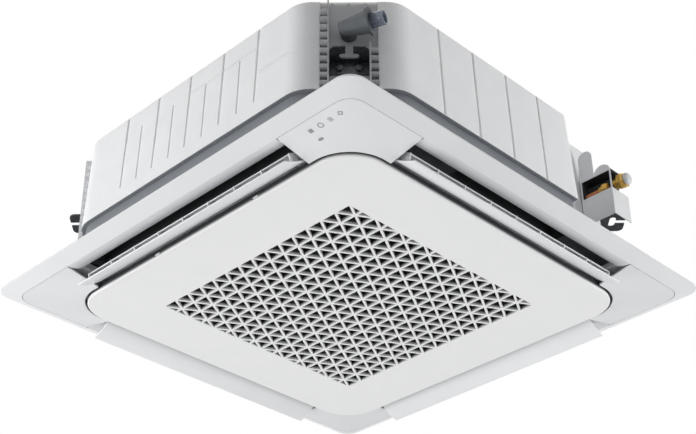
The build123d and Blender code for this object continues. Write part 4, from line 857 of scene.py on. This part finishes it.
@dataclass
class TwinVane:
    """An outlet vane: a drooping main blade under a narrow one, with ribs between and two pins.

    Distances are from the hinge, across the shut vane and upwards from it.
    """

    hinge_out_mm: float = 384.0
    hinge_height_mm: float = -14.0
    rest_degrees: float = 31.0
    main: Blade = Blade((-6.0, -8.0), (49.0, -6.9), 2.4, 2.6, 276.0)
    upper: Blade = Blade((4.0, 9.0), (22.0, 7.0), 0.8, 2.2, 270.0)
    blade_rows: int = 12
    edge_share: float = 0.35
    edge_segments: int = 3
    rib_count: int = 9
    rib_mm: float = 2.2
    rib_width_mm: float = 19.0
    rib_middle_mm: float = 13.0
    rib_top_mm: float = 9.0
    rib_bite_mm: float = 1.0
    rib_splay_mm: float = 5.0
    rib_drop_mm: float = 0.6
    pin_radius_mm: float = 3.0
    pin_length_mm: float = 11.0
    pin_root_mm: float = 1.0
    pin_tip_mm: float = 0.8
    pin_sides: int = 20
    lug_mm: Triple = (2.6, 9.0, 11.5)
    lug_height_mm: float = -4.0
    lug_edge_mm: float = 0.8

    def blade(self, section: Blade) -> Piece:
        """Models one bowed blade with rounded edges, lying along X with its width along Y.

        Args:
            section: Its edges, bow, thickness and length.

        Returns:
            The blade.
        """
        (inner, foot), (outer, head) = section.inner_mm, section.outer_mm
        deselect()
        bpy.ops.mesh.primitive_grid_add(
            x_subdivisions=1, y_subdivisions=self.blade_rows, size=1.0, location=(0.0, 0.0, 0.0),
        )
        piece = bpy.context.object
        edit_all()
        width = outer - inner
        bpy.ops.transform.resize(value=(2 * section.half_length_mm * MM, width * MM, 1.0))
        bpy.ops.transform.translate(value=(0.0, (inner + width / 2) * MM, 0.0))
        for row in range(self.blade_rows + 1):
            share = row / self.blade_rows
            across = (inner + share * width) * MM
            bow = section.sag_mm * 4 * share * (1 - share)  # a parabola, deepest at the middle
            level = foot + share * (head - foot) - bow
            pick_points(piece, lambda place: abs(place.y - across) < LEVEL_REACH)
            bpy.ops.transform.translate(value=(0.0, 0.0, level * MM))
        bpy.ops.object.mode_set(mode="OBJECT")
        thicken(piece, section.thick_mm, offset=0.0)
        round_edges(piece, self.edge_share * section.thick_mm, self.edge_segments)
        apply_modifiers(piece)
        return piece

    def rib(self, along_mm: float) -> Piece:
        """Models one thin web that carries the upper blade on the main one.

        Args:
            along_mm: Its place along the vane.

        Returns:
            The web, wider at its foot than at its top.
        """
        foot = self.main.inner_mm[1] - self.rib_bite_mm
        piece = block(
            (self.rib_mm, self.rib_width_mm, self.rib_top_mm - foot),
            (along_mm, self.rib_middle_mm, (self.rib_top_mm + foot) / 2),
        )
        middle = self.rib_middle_mm * MM
        for way in (1, -1):
            pick_points(piece, lambda place: place.z < 0.0 and way * (place.y - middle) > 0.0)
            bpy.ops.transform.translate(value=(0.0, way * self.rib_splay_mm * MM, 0.0))
        pick_points(piece, lambda place: place.z > 0.0)
        bpy.ops.transform.translate(value=(0.0, 0.0, -self.rib_drop_mm * MM))
        bpy.ops.object.mode_set(mode="OBJECT")
        return piece

    def pin(self, way: int) -> Piece:
        """Models the pin of one end, with a rounded tip.

        Args:
            way: Minus one or one, for the end along X.

        Returns:
            The pin in its place.
        """
        reach, radius, tip = self.pin_length_mm, self.pin_radius_mm, self.pin_tip_mm
        piece = turned(
            [(-self.pin_root_mm, radius), (reach - tip, radius), (reach, radius - tip)],
            self.pin_sides,
        )
        piece.rotation_euler = (0.0, way * math.pi / 2, 0.0)
        piece.location = (way * self.main.half_length_mm * MM, 0.0, 0.0)
        apply_place(piece)
        return piece

    def lug(self, way: int) -> Piece:
        """Models the arm that joins a pin to the end of the main blade.

        Args:
            way: Minus one or one, for the end along X.

        Returns:
            The arm in its place.
        """
        along = way * (self.main.half_length_mm - self.lug_mm[0] / 2)
        piece = block(self.lug_mm, (along, 0.0, self.lug_height_mm))
        bpy.ops.mesh.bevel(offset=self.lug_edge_mm * MM, segments=2)
        bpy.ops.object.mode_set(mode="OBJECT")
        return piece

    def build(self) -> list[Piece]:
        """Models the vane once and installs a copy at each side.

        Returns:
            The four vanes.
        """
        parts = [self.blade(self.main), self.blade(self.upper)]
        reach = self.upper.half_length_mm
        span = 2 * (reach - self.rib_mm) / (self.rib_count - 1)
        parts += [self.rib(-reach + self.rib_mm + n * span) for n in range(self.rib_count)]
        for way in (-1, 1):
            parts += [self.pin(way), self.lug(way)]
        model = joined(parts)
        droop = Matrix.Rotation(-math.radians(self.rest_degrees), 4, "X")
        hinge = Matrix.Translation((0.0, self.hinge_out_mm * MM, above(self.hinge_height_mm)))
        vanes = []
        for side, turn in SIDES.items():
            vane = bpy.data.objects.new(side, model.data.copy())
            bpy.context.collection.objects.link(vane)
            vane.matrix_world = Matrix.Rotation(math.radians(turn), 4, "Z") @ hinge @ droop
            node = f"vane_{side}"
            vanes.append(install(vane, f"twin_{node}", VANE_ABS, node, "vane_white", node))
        bpy.data.objects.remove(model)
        return vanes


# ---------------------------------------------------------------- slot blank
@dataclass
class SlotBlank:
    """Dark tray at the end of the front right slot, where the duct stops at the pipe recess."""

    start_mm: float = 143.0
    end_mm: float = 278.0
    near_mm: float = 374.2
    far_mm: float = 407.4
    height_mm: float = 9.0
    depth_mm: float = 5.0
    skin_mm: float = 1.5
    edge_mm: float = 0.5
    step_inset_mm: float = 6.0
    step_rise_mm: float = 1.5

    def build(self) -> list[Piece]:
        """Models the tray with its turned-up rim and a stiffening step in its floor.

        Returns:
            The tray alone.
        """
        length, width = self.end_mm - self.start_mm, self.far_mm - self.near_mm
        tray = block((length, width, self.depth_mm))
        pick_points(tray, lambda place: place.z > 0.0)
        bpy.ops.mesh.delete(type="ONLY_FACE")
        pick_points(tray, lambda place: place.z < 0.0)
        bpy.ops.mesh.inset(thickness=self.step_inset_mm * MM)
        bpy.ops.transform.translate(value=(0.0, 0.0, self.step_rise_mm * MM))
        bpy.ops.object.mode_set(mode="OBJECT")
        thicken(tray, self.skin_mm)
        round_edges(tray, self.edge_mm)
        apply_modifiers(tray)
        tray.location = (
            (self.start_mm + length / 2) * MM,
            -(self.near_mm + width / 2) * MM,
            above(self.height_mm),
        )
        return [install(tray, "slot_blank", BELL_PLASTIC, "unit", "dark_plastic")]


# ---------------------------------------------------------------- pipe ends
@dataclass(frozen=True)
class FlareNut:
    """Place and size of a flare nut.

    Its outer face lies end_mm from the centre plane. half_flat_mm is half its width across flats,
    and collar_mm is its collar's radius.
    """

    node: str
    x_mm: float
    height_mm: float
    end_mm: float
    length_mm: float
    half_flat_mm: float
    collar_mm: float


@dataclass
class PipeEnds:
    """Flare nuts, the pale cap on the gas pipe and the foam that closes the window."""

    gas: FlareNut = FlareNut("gas_flare_nut", 290.0, 173.0, 454.0, 24.0, 13.94, 12.4)
    liquid: FlareNut = FlareNut("liquid_flare_nut", 271.0, 159.0, 426.0, 19.0, 9.26, 8.3)
    hexagon_share: float = 0.62
    corner_cut_mm: float = 0.1
    mouth_step_mm: float = 2.4
    mouth_length_mm: float = 1.2
    neck_step_mm: float = 1.0
    rim_start_mm: float = 3.0
    rim_full_mm: float = 1.6
    rim_lap_mm: float = 0.4
    face_lap_mm: float = 1.0
    face_step_mm: float = 0.8
    face_proud_mm: float = 0.25
    collar_sides: int = 36
    cap_y_mm: float = -454.4
    cap_rings_mm: tuple[Pair, ...] = (
        (-1.0, 10.8), (0.0, 11.6), (1.2, 12.2), (4.0, 12.0),
        (6.6, 10.6), (8.2, 7.8), (9.0, 3.6), (9.1, 0.4),
    )
    foam_mm: Triple = (52.0, 66.0, 7.0)
    foam_x_mm: float = 290.3
    foam_y_mm: float = -403.8
    foam_height_mm: float = 194.2
    foam_cuts: int = 3
    foam_skirt_mm: float = 9.0
    foam_skirt_from_mm: float = 12.0
    foam_edge_mm: float = 1.4

    def nut(self, nut: FlareNut) -> Piece:
        """Models a chamfered hexagon with a round, stepped collar towards the wall.

        Args:
            nut: The nut's place and size.

        Returns:
            The nut.
        """
        length, flat, collar = nut.length_mm, nut.half_flat_mm, nut.collar_mm
        corner = flat / math.cos(math.pi / HEXAGON)
        bevel = corner - flat
        corner -= self.corner_cut_mm
        shoulder = length - self.hexagon_share * length
        hexagon = turned(
            [(shoulder, flat), (shoulder + bevel, corner), (length - bevel, corner),
             (length, flat)], HEXAGON,
        )
        neck = collar - self.neck_step_mm
        ring = turned(
            [(0.0, collar - self.mouth_step_mm), (self.mouth_length_mm, neck),
             (shoulder - self.rim_start_mm, neck), (shoulder - self.rim_full_mm, collar),
             (shoulder + self.rim_lap_mm, collar)], self.collar_sides,
        )
        rim = flat - self.face_step_mm
        face = turned(
            [(length - self.face_lap_mm, rim), (length, rim),
             (length + self.face_proud_mm, rim - self.face_step_mm)], self.collar_sides,
        )
        piece = joined([hexagon, ring, face])
        piece.rotation_euler = (math.pi / 2, 0.0, 0.0)
        piece.location = (nut.x_mm * MM, -(nut.end_mm - length) * MM, above(nut.height_mm))
        return install(piece, f"chamfered_{nut.node}", BRASS, "unit", "nut_brass", nut.node)

    def cap(self) -> Piece:
        """Models the pale push-on cap that keeps the gas pipe clean until it is joined.

        Returns:
            The cap.
        """
        piece = turned(self.cap_rings_mm)
        piece.rotation_euler = (math.pi / 2, 0.0, 0.0)
        piece.location = (self.gas.x_mm * MM, self.cap_y_mm * MM, above(self.gas.height_mm))
        return install(piece, "gas_pipe_cap", CAP_PLASTIC, "unit", "grey_plastic")

    def foam(self) -> Piece:
        """Models the foam hood over the pipes, which closes the window from behind.

        Returns:
            The hood, with its skirt at the outer side.
        """
        piece = block(self.foam_mm)
        bpy.ops.mesh.subdivide(number_cuts=self.foam_cuts)
        skirt = self.foam_skirt_from_mm * MM
        pick_points(piece, lambda place: place.z < 0.0 and place.x > skirt)
        bpy.ops.transform.translate(value=(0.0, 0.0, -self.foam_skirt_mm * MM))
        bpy.ops.mesh.select_all(action="SELECT")
        place = (self.foam_x_mm * MM, self.foam_y_mm * MM, above(self.foam_height_mm))
        bpy.ops.transform.translate(value=place)
        bpy.ops.object.mode_set(mode="OBJECT")
        round_edges(piece, self.foam_edge_mm)
        apply_modifiers(piece)
        return install(piece, "pipe_foam_hood", CELL_FOAM, "unit", "black_foam")

    def build(self) -> list[Piece]:
        """Models both nuts, the cap and the foam hood.

        Returns:
            The four pieces.
        """
        return [self.nut(self.gas), self.nut(self.liquid), self.cap(), self.foam()]


# ---------------------------------------------------------------- display marks
class Mark(Enum):
    """Plain signs printed on the corner cover, over the status lamps."""

    WINDOW = "window"
    RING = "ring"
    BARS = "bars"
    DIAMOND = "diamond"
    PILL = "pill"


ROUND_MARKS = (Mark.RING, Mark.PILL)
SQUARE_MARKS = (Mark.WINDOW, Mark.BARS)
HOLLOW_MARKS = (Mark.RING, Mark.DIAMOND)


@dataclass
class DisplayMarks:
    """Printed signs and the receiver window on the corner cover over the display board."""

    row_x_mm: float = -425.0
    low_x_mm: float = -403.0
    start_y_mm: float = -338.0
    start_height_mm: float = -45.0
    pitch_mm: float = 21.8
    size_mm: float = 11.0
    round_sides: int = 32
    line_share: float = 0.32
    bar_share: float = 0.22
    bar_step: float = 0.55
    pill_share: float = 0.55
    lift_mm: float = 0.3
    row: tuple[Mark, ...] = (Mark.WINDOW, Mark.RING, Mark.BARS, Mark.DIAMOND)

    def sign(self, mark: Mark, x_mm: float, y_mm: float) -> Piece:
        """Models one flat sign below the cover.

        Args:
            mark: Which sign.
            x_mm: Its centre along X.
            y_mm: Its centre along Y.

        Returns:
            The sign's mesh object.
        """
        deselect()
        radius = self.size_mm * MM / 2
        bpy.ops.mesh.primitive_circle_add(
            vertices=self.round_sides if mark in ROUND_MARKS else 4,
            radius=radius,
            fill_type="NGON",
            location=(x_mm * MM, y_mm * MM, above(self.start_height_mm)),
            rotation=(0.0, 0.0, math.pi / 4 if mark in SQUARE_MARKS else 0.0),
        )
        edit_all()
        if mark in HOLLOW_MARKS:
            bpy.ops.mesh.inset(thickness=radius * self.line_share)
            bpy.ops.mesh.delete(type="FACE")
        elif mark is Mark.BARS:
            bpy.ops.transform.resize(value=(self.bar_share, 1.0, 1.0))
            for step in (self.bar_step, -2 * self.bar_step):
                move = {"value": (step * radius, 0.0, 0.0)}
                bpy.ops.mesh.duplicate_move(TRANSFORM_OT_translate=move)
        elif mark is Mark.PILL:
            bpy.ops.transform.resize(value=(self.pill_share, 1.0, 1.0))
        bpy.ops.mesh.select_all(action="SELECT")
        bpy.ops.mesh.quads_convert_to_tris()
        bpy.ops.object.mode_set(mode="OBJECT")
        return bpy.context.object

    def printed(self, signs: list[Piece], name: str, finish: Finish) -> Piece:
        """Lays signs onto the cover as one piece.

        Args:
            signs: The flat signs below it.
            name: Name of the printed piece.
            finish: Its surface.

        Returns:
            The printed layer, riding on the unit.
        """
        layer = joined(signs)
        wrap = layer.modifiers.new("wrap", "SHRINKWRAP")
        wrap.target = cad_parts["corner_cover_front"]
        wrap.wrap_method = "PROJECT"
        wrap.use_project_z = True
        wrap.use_negative_direction = False
        wrap.offset = self.lift_mm * MM
        apply_modifiers(layer)
        settle(layer, name)
        layer.data.materials.append(finish.material())
        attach(layer, "unit")
        return layer

    def build(self) -> list[Piece]:
        """Prints the row of signs, the receiver window and the small lamp.

        Returns:
            The two printed pieces.
        """
        light, dark = [], []
        for index, mark in enumerate(self.row):
            sign = self.sign(mark, self.row_x_mm, self.start_y_mm - index * self.pitch_mm)
            (dark if mark is Mark.WINDOW else light).append(sign)
        dark.append(self.sign(Mark.PILL, self.low_x_mm, self.start_y_mm))
        return [
            self.printed(light, "display_signs", INK),
            self.printed(dark, "display_window", SMOKED),
        ]


# ---------------------------------------------------------------- studio
@dataclass(frozen=True)
class Lamp:
    """A soft square lamp aimed at the unit: where it hangs, the edge of its face, its power."""

    name: str
    place: Triple
    size: float
    watts: float


@dataclass
class Studio:
    """Camera, floor, world and lamps."""

    camera_place: Triple = (-1.6769, -1.6541, -1.4903)
    camera_forward: Triple = (0.5997, 0.5919, 0.5384)
    camera_roll_degrees: float = -0.4383
    lens_mm: float = 73.7
    sensor_mm: float = 36.0
    floor_height: float = -6.5
    floor_half: float = 40.0
    floor_glow: float = 0.28
    world_light: float = 0.34
    lamps: tuple[Lamp, ...] = (
        Lamp("key", (-2.8, 2.0, -1.0), 2.4, 92.0),
        Lamp("fill", (2.3, -2.9, -0.9), 2.6, 82.0),
        Lamp("under", (0.9, 0.9, -4.0), 3.0, 52.0),
        Lamp("top", (1.5, 1.0, 4.0), 3.0, 40.0),
    )

    def camera(self) -> None:
        """Places the camera below the front corner, looking up."""
        data = bpy.data.cameras.new("camera")
        data.lens = self.lens_mm
        data.sensor_width = self.sensor_mm
        camera = bpy.data.objects.new("camera", data)
        bpy.context.collection.objects.link(camera)
        forward = Vector(self.camera_forward).normalized()
        right = forward.cross(Vector((0.0, 0.0, 1.0))).normalized()
        up = right.cross(forward)
        roll = math.radians(self.camera_roll_degrees)
        right, up = (
            right * math.cos(roll) + up * math.sin(roll),
            up * math.cos(roll) - right * math.sin(roll),
        )
        turn = Matrix((right, up, -forward)).transposed().to_4x4()
        camera.matrix_world = Matrix.Translation(self.camera_place) @ turn
        bpy.context.scene.camera = camera

    def floor(self) -> None:
        """Lays a plain pale floor well below the hanging unit, a little brighter to the eye."""
        deselect()
        bpy.ops.mesh.primitive_plane_add(
            size=2 * self.floor_half, location=(0.0, 0.0, self.floor_height),
        )
        floor = bpy.context.object
        floor.name = "floor"
        paint = FLOOR_PAINT.material()
        tree = paint.node_tree
        shader = next(node for node in tree.nodes if node.bl_idname == "ShaderNodeBsdfPrincipled")
        seen = add_node(tree, "ShaderNodeLightPath")
        glow = add_node(
            tree, "ShaderNodeMath", {1: self.floor_glow}, {0: seen.outputs["Is Camera Ray"]},
            operation="MULTIPLY",
        )
        shader.inputs["Emission Color"].default_value = WHITE
        tree.links.new(glow.outputs[0], shader.inputs["Emission Strength"])
        floor.data.materials.append(paint)

    def world(self) -> None:
        """White backdrop for the camera and soft even light from all round."""
        world = bpy.data.worlds.new("studio")
        bpy.context.scene.world = world
        world.use_nodes = True
        tree = world.node_tree
        tree.nodes.clear()
        path = add_node(tree, "ShaderNodeLightPath")
        seen = path.outputs["Is Camera Ray"]
        for ray in ("Is Glossy Ray", "Is Transmission Ray"):
            either = add_node(
                tree, "ShaderNodeMath", None, {0: seen, 1: path.outputs[ray]},
                operation="MAXIMUM",
            )
            seen = either.outputs[0]
        soft, white = [
            add_node(tree, "ShaderNodeBackground", {"Color": WHITE, "Strength": strength})
            for strength in (self.world_light, 1.0)
        ]
        mix = add_node(
            tree, "ShaderNodeMixShader", None, {0: seen, 1: soft.outputs[0], 2: white.outputs[0]},
        )
        add_node(tree, "ShaderNodeOutputWorld", None, {"Surface": mix.outputs[0]})

    def hang(self, lamp: Lamp) -> None:
        """Hangs one lamp and aims it at the origin.

        Args:
            lamp: The lamp's place, size and power.
        """
        data = bpy.data.lights.new(lamp.name, "AREA")
        data.shape = "SQUARE"
        data.size = lamp.size
        data.energy = lamp.watts
        light = bpy.data.objects.new(lamp.name, data)
        bpy.context.collection.objects.link(light)
        light.location = lamp.place
        light.rotation_euler = (-Vector(lamp.place)).to_track_quat("-Z", "Y").to_euler()

    def build(self) -> None:
        """Sets up the whole studio."""
        self.camera()
        self.floor()
        self.world()
        for lamp in self.lamps:
            self.hang(lamp)
        bpy.context.scene.view_settings.view_transform = "Standard"


def main() -> None:
    """Dresses the solids, sets up the studio and models the finer pieces."""
    logging.basicConfig(level=logging.INFO, format="%(name)s: %(message)s")
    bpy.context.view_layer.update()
    dress_nodes()
    Studio().build()
    made = [
        piece
        for group in (RoundMouldings(), TwinVane(), SlotBlank(), PipeEnds(), DisplayMarks())
        for piece in group.build()
    ]
    LOG.info("made %s", ", ".join(piece.name for piece in made))
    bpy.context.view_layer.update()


if __name__ == "__main__":
    main()
